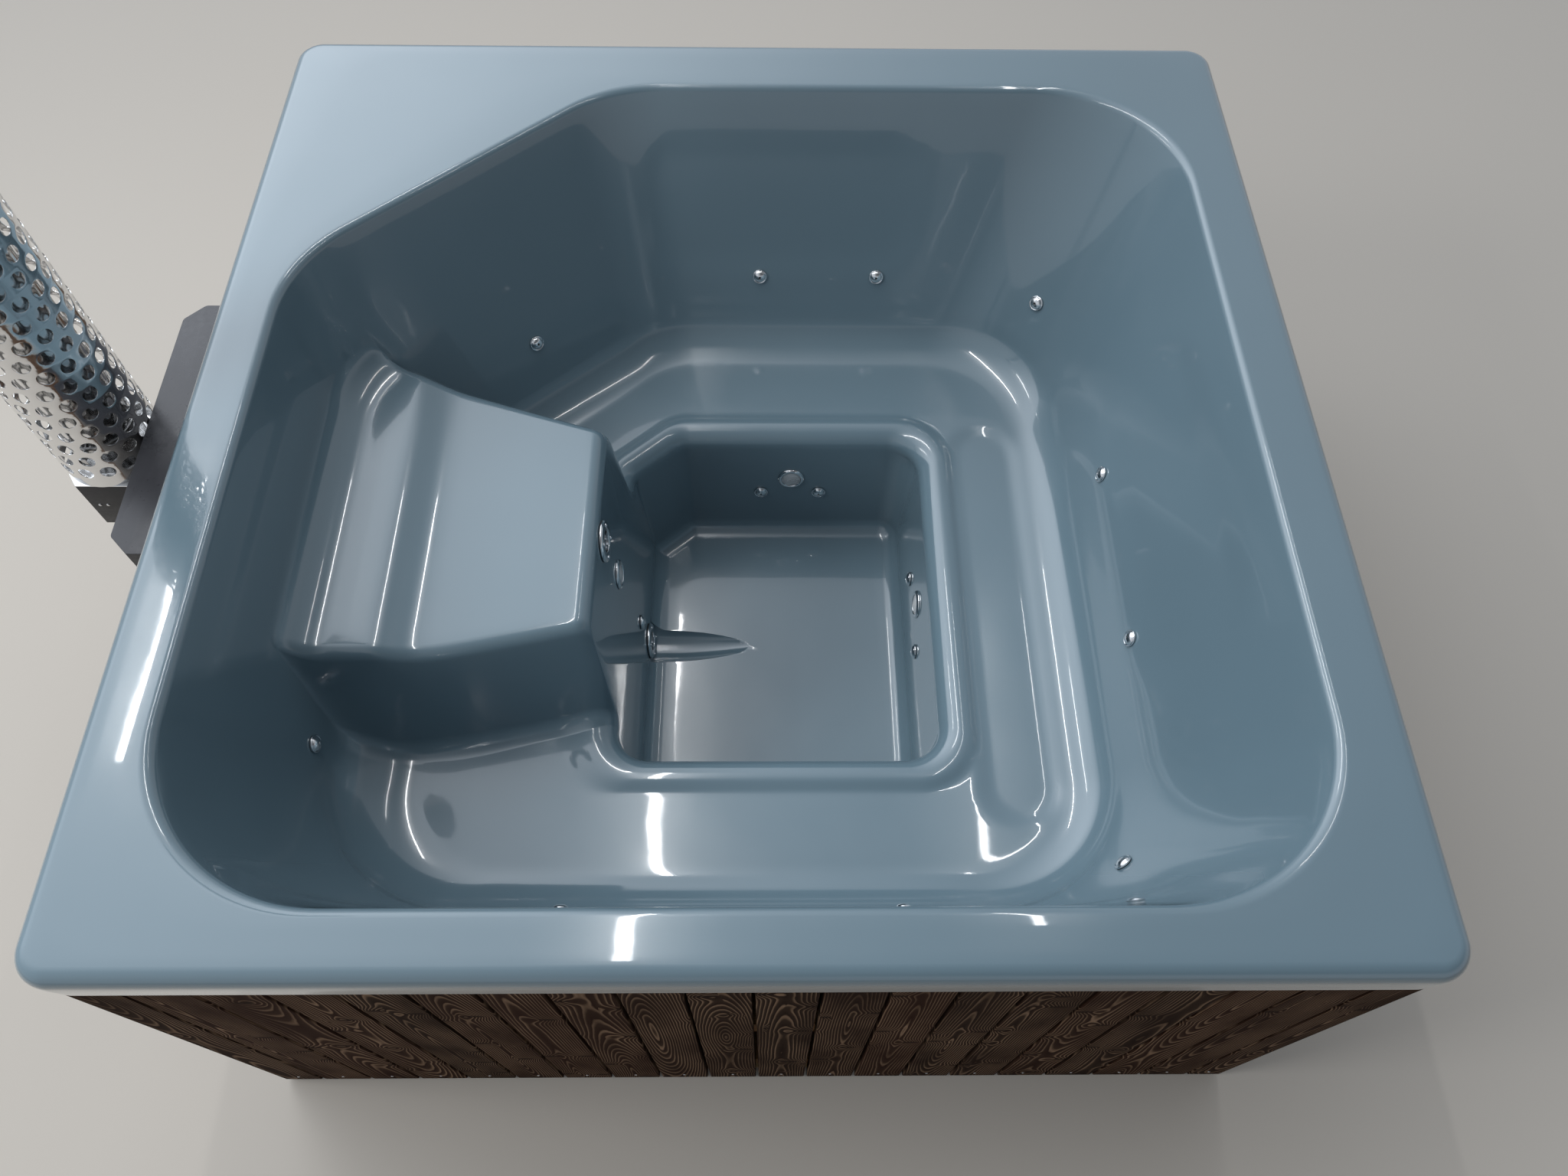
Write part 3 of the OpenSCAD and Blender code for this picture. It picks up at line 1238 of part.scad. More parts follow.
// Drain: a pipe from the water jacket out through the left boards to a quarter-turn valve
valve_x = -half - 12;
valve_l = 54;
stem_z = drain_z + drain_d / 2 + 14;
module drain_run(r, more) {
    a = [drain_x, jacket_y[0] + more, drain_z];
    b = [drain_x, drain_y, drain_z];
    rod(a, b, r);
    translate(b) sphere(r = r);
    rod(b, [valve_x - more, drain_y, drain_z], r);
}
module drain_pipe() {
    color("white") difference() {
        drain_run(drain_d / 2, 0);
        drain_run(drain_bore, 1);
    }
}
module drain_valve() {
    color("goldenrod") translate([valve_x, drain_y, drain_z]) rotate([0, -90, 0])
        difference() {
            union() {
                cylinder(r = drain_d / 2 + 4, h = 14, $fn = 6);
                translate([0, 0, 8]) cylinder(r = drain_d / 2 + 2, h = valve_l - 20);
                translate([0, 0, valve_l - 16]) cylinder(r = drain_bore + 4, h = 16);
                translate([0, 0, valve_l / 2 - 2]) rotate([0, 90, 0])
                    cylinder(r = 9, h = stem_z - drain_z);
                translate([0, 0, valve_l / 2 - 2]) rotate([0, 90, 0])
                    cylinder(r = 4, h = stem_z - drain_z + 8);
            }
            translate([0, 0, -1]) cylinder(r = drain_bore, h = valve_l + 2);
        }
}
module drain_lever() {
    x = valve_x - valve_l / 2 + 2;
    color("firebrick") translate([x, drain_y, stem_z + seat_gap]) difference() {
        union() {
            cylinder(r = 11, h = 6);
            translate([-8, -lever_l, 0]) cube([16, lever_l, 5]);
            translate([0, -lever_l, 0]) cylinder(r = 8, h = 5);
        }
        translate([0, 0, -1]) cylinder(r = 4 + pin_fit, h = 8);
    }
}

shell();
boards_front();
boards_back();
boards_left();
boards_right();
board_nails();
corner_posts();
stove_studs();
top_rails();
mid_rails();
base_rails();
base_joists();
base_board();
footwell_pads();
bench_props();
jet_heads();
jet_gaskets();
jet_nuts();
jet_bodies();
air_drops();
air_main();
foot_air_main();
blower();
light_bezels();
light_lenses();
light_housings();
light_nuts();
port_flanges();
port_screws();
port_gaskets();
port_nuts();
upper_hose();
lower_hose();
hose_clamps();
water_jacket();
jacket_feet();
fire_grate();
stove_front();
stove_plate();
smoke_box();
smoke_box_plate();
flue_pipe();
flue_guard();
guard_spacers();
rain_cap();
fire_door();
hinge_brackets();
hinge_pins();
door_latch();
latch_keeper();
air_slide();
slide_guides();
ash_drawer();
ash_knob();
drain_pipe();
drain_valve();
drain_lever();
front_rivets();
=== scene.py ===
"""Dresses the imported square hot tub: moulded shell, boards, fittings, stove, flue and studio."""
import logging
import math
from dataclasses import dataclass, field
from enum import Enum
from typing import Any, Sequence

import bmesh
import bpy
import numpy as np
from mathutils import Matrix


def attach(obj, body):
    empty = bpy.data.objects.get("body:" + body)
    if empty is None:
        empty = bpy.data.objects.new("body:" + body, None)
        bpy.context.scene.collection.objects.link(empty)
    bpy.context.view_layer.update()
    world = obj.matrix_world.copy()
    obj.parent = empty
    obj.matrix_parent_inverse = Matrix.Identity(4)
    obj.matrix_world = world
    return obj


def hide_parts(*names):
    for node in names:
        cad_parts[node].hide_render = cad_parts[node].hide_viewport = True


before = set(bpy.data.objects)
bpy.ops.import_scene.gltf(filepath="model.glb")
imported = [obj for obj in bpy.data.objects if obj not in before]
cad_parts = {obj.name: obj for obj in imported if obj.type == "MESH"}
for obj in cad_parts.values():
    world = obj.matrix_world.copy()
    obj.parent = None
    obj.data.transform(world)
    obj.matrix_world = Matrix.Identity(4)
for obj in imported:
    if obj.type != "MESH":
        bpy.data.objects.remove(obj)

log = logging.getLogger("hot_tub")
Array = np.ndarray
MM = 0.001
MERGE = 1e-5  # metres within which the loose triangles of a CAD node share a point
SLIVER = 1e-7  # metres below which an edge is dissolved
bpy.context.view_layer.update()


# Shapes worked out with numpy, in millimetres

def heading(angle: Any) -> Array:
    """Returns the plan direction of an angle in radians, for one angle or an array."""
    angle = np.asarray(angle, float)
    return np.stack([np.cos(angle), np.sin(angle)], -1)


def blend(a: Any, b: Any, f: Any) -> Any:
    """Returns the value a share f of the way from a to b."""
    return a + (b - a) * f


def ease(x: Any) -> Array:
    """Returns the smooth step 3t^2 - 2t^3 of x held between 0 and 1."""
    t = np.clip(x, 0.0, 1.0)
    return t * t * (3.0 - 2.0 * t)


def rounded(path: Sequence[Sequence[float]], radius: float, steps: int = 4,
            closed: bool = False) -> Array:
    """Rounds the corners of a flat path.

    Each corner becomes a curve b + (1-t)^2 (a-b) + t^2 (c-b) between points a radius away.

    Args:
        path: Corners of the path, in order.
        radius: How far from a corner its curve starts, at most 0.45 of the shorter side.
        steps: Pieces of each curve.
        closed: Whether the path is an outline, with every corner rounded.

    Returns:
        The points of the rounded path.
    """
    p = np.asarray(path, float)
    before = np.roll(p, 1, 0)
    after = np.roll(p, -1, 0)
    la = np.linalg.norm(before - p, axis=1, keepdims=True)
    lc = np.linalg.norm(after - p, axis=1, keepdims=True)
    la[la == 0] = 1.0
    lc[lc == 0] = 1.0
    cut = np.minimum(radius, 0.45 * np.minimum(la, lc))
    a = p + (before - p) / la * cut
    c = p + (after - p) / lc * cut
    t = np.linspace(0.0, 1.0, steps + 1)[None, :, None]
    curve = p[:, None] + (1 - t) ** 2 * (a - p)[:, None] + t ** 2 * (c - p)[:, None]
    if closed:
        return curve.reshape(-1, 2)
    return np.concatenate([p[:1], curve[1:-1].reshape(-1, 2), p[-1:]])


def turned(profile: Any, steps: int = 48) -> Array:
    """Carries a profile round the Z axis: (r cos a, r sin a, z) at each step a of the turn.

    Args:
        profile: Radii and heights, in order.
        steps: Columns round the axis.

    Returns:
        Rows of points, one for each point of the profile.
    """
    p = np.asarray(profile, float)
    a = np.linspace(0.0, 2 * math.pi, steps, endpoint=False)
    return np.stack([p[:, :1] * np.cos(a), p[:, :1] * np.sin(a),
                     np.repeat(p[:, 1:], steps, 1)], -1)


def shrunk(outline: Array, inset: float, least: float = 0.4) -> Array:
    """Moves each corner of an outline in along its mitre.

    The mitre is the sum of the two sides' inward normals over one plus their product.

    Args:
        outline: Counter-clockwise points of the outline.
        inset: How far each side moves in.
        least: Least value of the divisor, which keeps the mitre of a sharp corner short.

    Returns:
        The smaller outline.
    """
    a = outline - np.roll(outline, 1, 0)
    b = np.roll(outline, -1, 0) - outline
    na = np.stack([-a[:, 1], a[:, 0]], 1) / np.linalg.norm(a, axis=1, keepdims=True)
    nb = np.stack([-b[:, 1], b[:, 0]], 1) / np.linalg.norm(b, axis=1, keepdims=True)
    return outline + inset * (na + nb) / np.maximum(least, (1 + (na * nb).sum(1, keepdims=True)))


def prism(outline: Array, low: float, high: float, edge: float = 1.0, steps: int = 3) -> Array:
    """Carries an outline from low to high with rounded upper and lower edges.

    The inset along the height is edge (1 - cos a) and the height edge (1 - sin a), a from 0 to 90.

    Args:
        outline: Counter-clockwise points of the outline.
        low: Height of the underside.
        high: Height of the top.
        edge: Radius of the edges.
        steps: Pieces of each edge.

    Returns:
        Rows of points from the underside to the top.
    """
    a = np.linspace(0.0, math.pi / 2, steps + 1)
    rows = [(edge * (1 - math.sin(x)), low + edge * (1 - math.cos(x))) for x in a]
    rows += [(edge * (1 - math.cos(x)), high - edge * (1 - math.sin(x))) for x in a]
    return np.stack([np.concatenate([shrunk(outline, i), np.full((len(outline), 1), z)], 1)
                     for i, z in rows])


def box_outline(x0: float, x1: float, y0: float, y1: float, corner: float = 0.0) -> Array:
    """Returns a rectangle's counter-clockwise outline, its corners rounded where asked."""
    p = np.array([[x0, y0], [x1, y0], [x1, y1], [x0, y1]], float)
    return rounded(p, corner, 4, True) if corner else p


def facing(normal: Sequence[float]) -> Array:
    """Works out the turn that takes +Z to a normal: about Y by its tilt, then about Z.

    Args:
        normal: The unit normal.

    Returns:
        The turn, three by three.
    """
    n = np.asarray(normal, float)
    t, p = math.acos(max(-1.0, min(1.0, n[2]))), math.atan2(n[1], n[0])
    about_y = np.array([[math.cos(t), 0, math.sin(t)], [0, 1, 0], [-math.sin(t), 0, math.cos(t)]])
    about_z = np.array([[math.cos(p), -math.sin(p), 0], [math.sin(p), math.cos(p), 0], [0, 0, 1]])
    return about_z @ about_y


def seated(grid: Array, point: Sequence[float], normal: Sequence[float]) -> Array:
    """Returns a grid moved to a point, with its +Z along the normal there."""
    return grid @ facing(normal).T + np.asarray(point, float)


def spun(grid: Array, turn: float) -> Array:
    """Turns points about Z: (x cos t - y sin t, x sin t + y cos t, z).

    Args:
        grid: The points.
        turn: The turn t, in radians.

    Returns:
        The turned points.
    """
    c, s = math.cos(turn), math.sin(turn)
    return np.stack([grid[..., 0] * c - grid[..., 1] * s, grid[..., 0] * s + grid[..., 1] * c,
                     grid[..., 2]], -1)


def polar(r: float, degrees: float, z: float = 0.0) -> Array:
    """Returns the point at a radius, an angle in degrees and a height."""
    a = math.radians(degrees)
    return np.array([r * math.cos(a), r * math.sin(a), z])


class Draft:
    """Points and faces of one piece, gathered from numpy surfaces before it becomes a mesh."""

    def __init__(self) -> None:
        """Starts an empty draft."""
        self.points: list[Array] = []
        self.faces: list[list[int]] = []
        self.grain: list[Array] = []
        self.count = 0

    def surface(self, grid: Array, around: bool = False, ends: bool = False,
                grain: Array | None = None) -> None:
        """Adds a grid of points as quads.

        Args:
            grid: Rows, columns and three coordinates.
            around: Whether the last column joins the first.
            ends: Whether the first and last row are closed by fans to their middle.
            grain: Three pattern coordinates for each point, in metres.
        """
        rows, cols = grid.shape[:2]
        start = self.count
        flat = [grid.reshape(-1, 3)]
        wide = cols if around else cols - 1
        a = start + np.arange(rows - 1)[:, None] * cols + np.arange(wide)[None, :]
        b = start + np.arange(rows - 1)[:, None] * cols + (np.arange(wide)[None, :] + 1) % cols
        self.faces += np.stack([a, b, b + cols, a + cols], -1).reshape(-1, 4).tolist()
        if ends:
            flat += [grid[:1].mean(1), grid[-1:].mean(1)]
            pole = start + rows * cols
            k, m = np.arange(cols), (np.arange(cols) + 1) % cols
            low = np.stack([start + m, start + k, np.full(cols, pole)], -1)
            last = start + (rows - 1) * cols
            high = np.stack([last + k, last + m, np.full(cols, pole + 1)], -1)
            self.faces += low.tolist() + high.tolist()
        new = np.concatenate(flat)
        self.points.append(new)
        self.count += len(new)
        if grain is not None:
            g = grain.reshape(-1, 3)
            self.grain.append(np.concatenate([g, np.repeat(g[:1], len(new) - len(g), 0)]))

    def mesh(self, name: str, weld: float = 0.002, outward: bool = True,
             crease: float = 35.0) -> bpy.types.Mesh:
        """Makes the mesh.

        Args:
            name: Name of the mesh.
            weld: Distance in millimetres within which points are merged, 0 for none.
            outward: Whether the faces of each closed part are turned outwards.
            crease: Angle in degrees above which an edge stays sharp.

        Returns:
            The finished mesh, in metres.
        """
        made = bpy.data.meshes.new(name)
        made.from_pydata((np.concatenate(self.points) * MM).tolist(), [], self.faces)
        if self.grain:
            layer = made.attributes.new("grain", "FLOAT_VECTOR", "POINT")
            layer.data.foreach_set("vector", np.concatenate(self.grain).astype(np.float32).ravel())
        work = bmesh.new()
        work.from_mesh(made)
        if weld:
            bmesh.ops.remove_doubles(work, verts=work.verts, dist=weld * MM)
            bmesh.ops.dissolve_degenerate(work, edges=work.edges, dist=SLIVER)
        if outward:
            bmesh.ops.recalc_face_normals(work, faces=work.faces)
        work.to_mesh(made)
        work.free()
        smooth(made, crease)
        return made

    def place(self, name: str, finish: "Finish", nodes: Sequence[str], body: str = "tub",
              weld: float = 0.002, crease: float = 35.0) -> None:
        """Makes the mesh and puts it into the scene as a piece that replaces CAD nodes."""
        piece(name, self.mesh(name, weld=weld, crease=crease), finish, nodes, body)


def smooth(mesh: bpy.types.Mesh, crease: float) -> None:
    """Shades a mesh smooth, with its steep edges left sharp.

    Args:
        mesh: The mesh.
        crease: Angle in degrees above which an edge stays sharp.
    """
    mesh.shade_smooth()
    mesh.set_sharp_from_angle(angle=math.radians(crease))
    mesh.update()


def linked(name: str, data: Any) -> bpy.types.Object:
    """Makes an object and links it to the scene.

    Args:
        name: Its name.
        data: Its mesh, lamp or camera.

    Returns:
        The new object.
    """
    made = bpy.data.objects.new(name, data)
    bpy.context.scene.collection.objects.link(made)
    return made


def piece(name: str, mesh: bpy.types.Mesh, finish: "Finish", nodes: Sequence[str],
          body: str = "tub") -> None:
    """Puts a mesh into the scene as a piece of the object.

    Args:
        name: Name of the piece.
        mesh: Its mesh, in metres in the row frame.
        finish: The finish it wears.
        nodes: The CAD nodes that it replaces.
        body: The body it rides on.
    """
    made = linked(name, mesh)
    mesh.materials.clear()
    mesh.materials.append(finish.material())
    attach(made, body)
    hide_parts(*nodes)
    log.info("%s: %d faces, %d open edges", name, len(mesh.polygons), open_edges(mesh))


def open_edges(mesh: bpy.types.Mesh) -> int:
    """Counts the edges of a mesh that don't join exactly two faces.

    Args:
        mesh: The mesh.

    Returns:
        How many there are, 0 for a closed mesh.
    """
    loops = np.zeros(len(mesh.loops), np.int32)
    mesh.loops.foreach_get("edge_index", loops)
    return int((np.bincount(loops, minlength=len(mesh.edges)) != 2).sum())


def applied(worked: bpy.types.Object) -> bpy.types.Mesh:
    """Applies an object's modifiers.

    Args:
        worked: The object, which is removed with its mesh.

    Returns:
        A new mesh with the modifiers applied.
    """
    graph = bpy.context.evaluated_depsgraph_get()
    result = bpy.data.meshes.new_from_object(worked.evaluated_get(graph), depsgraph=graph)
    old = worked.data
    bpy.data.objects.remove(worked)
    bpy.data.meshes.remove(old)
    return result


class Carve(Enum):
    """What is done to a closed mesh with a second one."""

    JOIN = "UNION"
    CUT = "DIFFERENCE"


def carved(base: bpy.types.Mesh, tool: bpy.types.Mesh, how: Carve) -> bpy.types.Mesh:
    """Joins a closed mesh to another, or cuts the other out of it.

    Args:
        base: The mesh that is worked on.
        tool: The mesh that is added or taken away.
        how: Which of the two is done.

    Returns:
        A new mesh; the two given ones are removed.
    """
    worked, other = linked("carve_base", base), linked("carve_tool", tool)
    modifier = worked.modifiers.new("carve", "BOOLEAN")
    modifier.operation = how.value
    modifier.solver = "EXACT"
    modifier.object = other
    result = applied(worked)
    bpy.data.objects.remove(other)
    bpy.data.meshes.remove(tool)
    return result


def merged(node: str) -> bmesh.types.BMesh:
    """Copies a CAD node's mesh and lets its loose triangles share their points.

    Args:
        node: The CAD node.

    Returns:
        The copy, which its user frees.
    """
    work = bmesh.new()
    work.from_mesh(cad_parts[node].data)
    bmesh.ops.remove_doubles(work, verts=work.verts, dist=MERGE)
    return work


def eased_copy(node: str, width: float, flat: float = 0.4, sharp: float = 50.0,
               crease: float = 40.0) -> bpy.types.Mesh:
    """Copies a sheet or cast CAD node, merges its flat faces and rounds its edges by a bevel.

    Args:
        node: The CAD node.
        width: Width of the rounded edges in millimetres.
        flat: Angle in degrees up to which faces count as one.
        sharp: Angle in degrees above which an edge is rounded.
        crease: Angle in degrees above which an edge is shaded sharp.

    Returns:
        The copy's mesh with the bevel applied.
    """
    work = merged(node)
    bmesh.ops.dissolve_limit(work, angle_limit=math.radians(flat), verts=work.verts,
                             edges=work.edges)
    mesh = bpy.data.meshes.new(node + "_eased")
    work.to_mesh(mesh)
    work.free()
    copy = linked(node + "_eased", mesh)
    bevel = copy.modifiers.new("edges", "BEVEL")
    bevel.width = width * MM
    bevel.segments = 2
    bevel.limit_method = "ANGLE"
    bevel.angle_limit = math.radians(sharp)
    result = applied(copy)
    smooth(result, crease)
    return result


# Finishes

class Tree:
    """A material's node tree, built call by call."""

    def __init__(self, name: str) -> None:
        """Starts a material with one Principled shader.

        Args:
            name: Name of the material.
        """
        self.made = bpy.data.materials.new(name)
        self.made.use_nodes = True
        self.nodes = self.made.node_tree.nodes
        self.links = self.made.node_tree.links
        self.nodes.clear()
        self.shader = self.nodes.new("ShaderNodeBsdfPrincipled")
        self.exit = self.nodes.new("ShaderNodeOutputMaterial")
        self.links.new(self.shader.outputs[0], self.exit.inputs["Surface"])

    def feed(self, node: bpy.types.Node, inputs: dict[Any, Any]) -> bpy.types.Node:
        """Sets or links a node's inputs.

        Args:
            node: The node.
            inputs: A value or an output socket for each input, by name or number.

        Returns:
            The same node.
        """
        for key, value in inputs.items():
            if isinstance(value, bpy.types.NodeSocket):
                self.links.new(value, node.inputs[key])
            else:
                node.inputs[key].default_value = value
        return node

    def add(self, kind: str, inputs: dict[Any, Any] | None = None,
            **settings: Any) -> bpy.types.Node:
        """Adds a node.

        Args:
            kind: Its type, without the word that all shader nodes start with.
            inputs: A value or an output socket for each input, by name or number.
            **settings: Its settings.

        Returns:
            The new node.
        """
        node = self.nodes.new("ShaderNode" + kind)
        for key, value in settings.items():
            setattr(node, key, value)
        return self.feed(node, inputs or {})

    def calc(self, how: str, a: Any, b: Any = 0.0) -> bpy.types.NodeSocket:
        """Returns the output of a Math node on two values."""
        return self.add("Math", {0: a, 1: b}, operation=how).outputs[0]

    def plus(self, a: Any, b: Any) -> bpy.types.NodeSocket:
        """Returns the sum of two values."""
        return self.calc("ADD", a, b)

    def times(self, a: Any, b: Any) -> bpy.types.NodeSocket:
        """Returns the product of two values."""
        return self.calc("MULTIPLY", a, b)

    def point(self, x: Any, y: Any, z: Any = 0.0) -> bpy.types.NodeSocket:
        """Returns a vector of three values."""
        return self.add("CombineXYZ", {0: x, 1: y, 2: z}).outputs[0]

    def where(self, scale: Sequence[float] = (1, 1, 1)) -> bpy.types.NodeSocket:
        """Returns scaled Object coordinates."""
        spot = self.add("TexCoord").outputs["Object"]
        return self.add("Mapping", {"Vector": spot, "Scale": scale}).outputs[0]

    def noise(self, spot: Any, scale: float, detail: float = 3.0,
              rough: float = 0.5) -> bpy.types.NodeSocket:
        """Returns a noise between 0 and 1 at a place."""
        return self.add("TexNoise", {"Vector": spot, "Scale": scale, "Detail": detail,
                                     "Roughness": rough}).outputs[0]

    def ramp(self, value: Any, stops: Sequence[tuple[float, Any]]) -> bpy.types.NodeSocket:
        """Turns a value into a colour.

        Args:
            value: The value.
            stops: A place between 0 and 1 and a grey or a colour, for each stop.

        Returns:
            The ramp's colour.
        """
        node = self.add("ValToRGB", {0: value})
        marks = node.color_ramp.elements
        while len(marks) < len(stops):
            marks.new(0.5)
        for mark, (place, tone) in zip(marks, stops):
            mark.position = place
            mark.color = (tone, tone, tone, 1) if isinstance(tone, float) else (*tone, 1)
        return node.outputs[0]

    def mix(self, share: Any, a: Any, b: Any) -> bpy.types.NodeSocket:
        """Mixes two colours.

        Args:
            share: Share of the second colour.
            a: The first colour, or a socket.
            b: The second colour, or a socket.

        Returns:
            The mixed colour.
        """
        node = self.add("Mix", data_type="RGBA", blend_type="MIX")
        for key, value in ((0, share), (6, a), (7, b)):
            if isinstance(value, tuple):
                value = (*value, 1)
            self.feed(node, {key: value})
        return node.outputs[2]

    def bump(self, height: Any, depth: float, strength: float = 1.0,
             under: Any = None) -> bpy.types.NodeSocket:
        """Bends the normal by a height.

        Args:
            height: The height, from 0 to 1.
            depth: How many metres a full step is high.
            strength: Share of the effect.
            under: The normal that is bent, where another bump comes first.

        Returns:
            The bent normal.
        """
        node = self.add("Bump", {"Height": height, "Distance": depth, "Strength": strength})
        if under is not None:
            self.feed(node, {"Normal": under})
        return node.outputs[0]


def shaded(colour: Sequence[float], factor: float) -> tuple[float, float, float]:
    """Returns a colour made darker or paler by a factor."""
    return tuple(min(1.0, c * factor) for c in colour)


@dataclass(frozen=True)
class Finish:
    """A finish: a named material with a colour, a roughness and its own pattern."""

    name: str
    slot: str
    colour: tuple[float, float, float]
    rough: float = 0.5

    def material(self) -> bpy.types.Material:
        """Returns the material, made on first use."""
        made = bpy.data.materials.get(self.name)
        if made is None:
            tree = Tree(self.name)
            tree.feed(tree.shader, {"Base Color": (*self.colour, 1), "Roughness": self.rough})
            self.pattern(tree)
            made = tree.made
        return made

    def pattern(self, tree: Tree) -> None:
        """Adds fine mottling and a faint bump, which plain painted parts have.

        Args:
            tree: The material\'s tree.
        """
        spot = tree.where()
        mottle = tree.noise(spot, 38.0, 4.0)
        tree.feed(tree.shader, {
            "Base Color": tree.mix(mottle, shaded(self.colour, 0.9), self.colour),
            "Roughness": tree.ramp(mottle, [(0.2, self.rough * 0.85), (0.8, self.rough * 1.15)]),
            "Normal": tree.bump(tree.noise(spot, 420.0, 2.0), 0.00012, 0.5)})


@dataclass(frozen=True)
class Ground(Finish):
    """The studio's floor: one even tone with a very faint cloud and no relief."""

    def pattern(self, tree: Tree) -> None:
        """Mixes two near tones by a wide noise.

        Args:
            tree: The material\'s tree.
        """
        cloud = tree.noise(tree.where(), 0.6, 2.0)
        tree.feed(tree.shader, {
            "Base Color": tree.mix(cloud, shaded(self.colour, 0.97), self.colour)})


@dataclass(frozen=True)
class Gelcoat(Finish):
    """Sprayed gelcoat: a deep gloss over a very slightly rippled, faintly mottled colour."""

    ripple: float = 0.0016

    def pattern(self, tree: Tree) -> None:
        """Mixes two near tones by a wide noise and bends the gloss by a slow ripple.

        Args:
            tree: The material\'s tree.
        """
        spot = tree.where()
        wide = tree.noise(spot, 1.7, 3.0)
        fine = tree.noise(spot, 46.0, 3.0)
        tone = tree.mix(wide, shaded(self.colour, 0.93), shaded(self.colour, 1.06))
        haze = tree.ramp(tree.noise(spot, 5.0, 5.0, 0.6),
                         [(0.35, self.rough), (0.75, self.rough * 1.5)])
        slow = tree.bump(tree.noise(spot, 3.2, 2.0), self.ripple, 0.6)
        skin = tree.bump(fine, 0.00006, 0.35, slow)
        tree.feed(tree.shader, {"Base Color": tone, "Roughness": haze, "Normal": skin,
                                "Coat Weight": 1.0, "Coat Roughness": 0.035, "Coat Normal": skin,
                                "IOR": 1.52})


@dataclass(frozen=True)
class Metal(Finish):
    """Metal: mirror, drawn or cast, by its roughness, its brush lines and its grain."""

    brush: tuple[float, float, float] = (60.0, 60.0, 60.0)
    wear: float = 0.25
    metallic: float = 1.0
    dents: float = 0.0

    def pattern(self, tree: Tree) -> None:
        """Varies tone and roughness by stretched noise, with faint smears and, if asked, dents.

        Args:
            tree: The material\'s tree.
        """
        lines = tree.noise(tree.where(self.brush), 6.0, 4.0, 0.6)
        smear = tree.noise(tree.where(), 9.0, 4.0, 0.6)
        dark = shaded(self.colour, 1 - self.wear)
        tone = tree.mix(tree.ramp(smear, [(0.3, 0.0), (0.7, 1.0)]), dark, self.colour)
        gloss = tree.ramp(tree.plus(tree.times(lines, 0.5), tree.times(smear, 0.5)),
                          [(0.3, self.rough * 0.7), (0.7, self.rough * 1.35)])
        normal = tree.bump(lines, 0.00004, 0.3)
        if self.dents:
            normal = tree.bump(tree.noise(tree.where(), 7.0, 2.0), self.dents, 1.0, normal)
        tree.feed(tree.shader, {"Base Color": tone, "Roughness": gloss, "Normal": normal,
                                "Metallic": self.metallic})


class Cut(Enum):
    """How a timber's pattern finds its place: its own grain attribute, or a direction."""

    BOARD = "board"
    ALONG_X = "x"
    ALONG_Y = "y"
    ALONG_Z = "z"


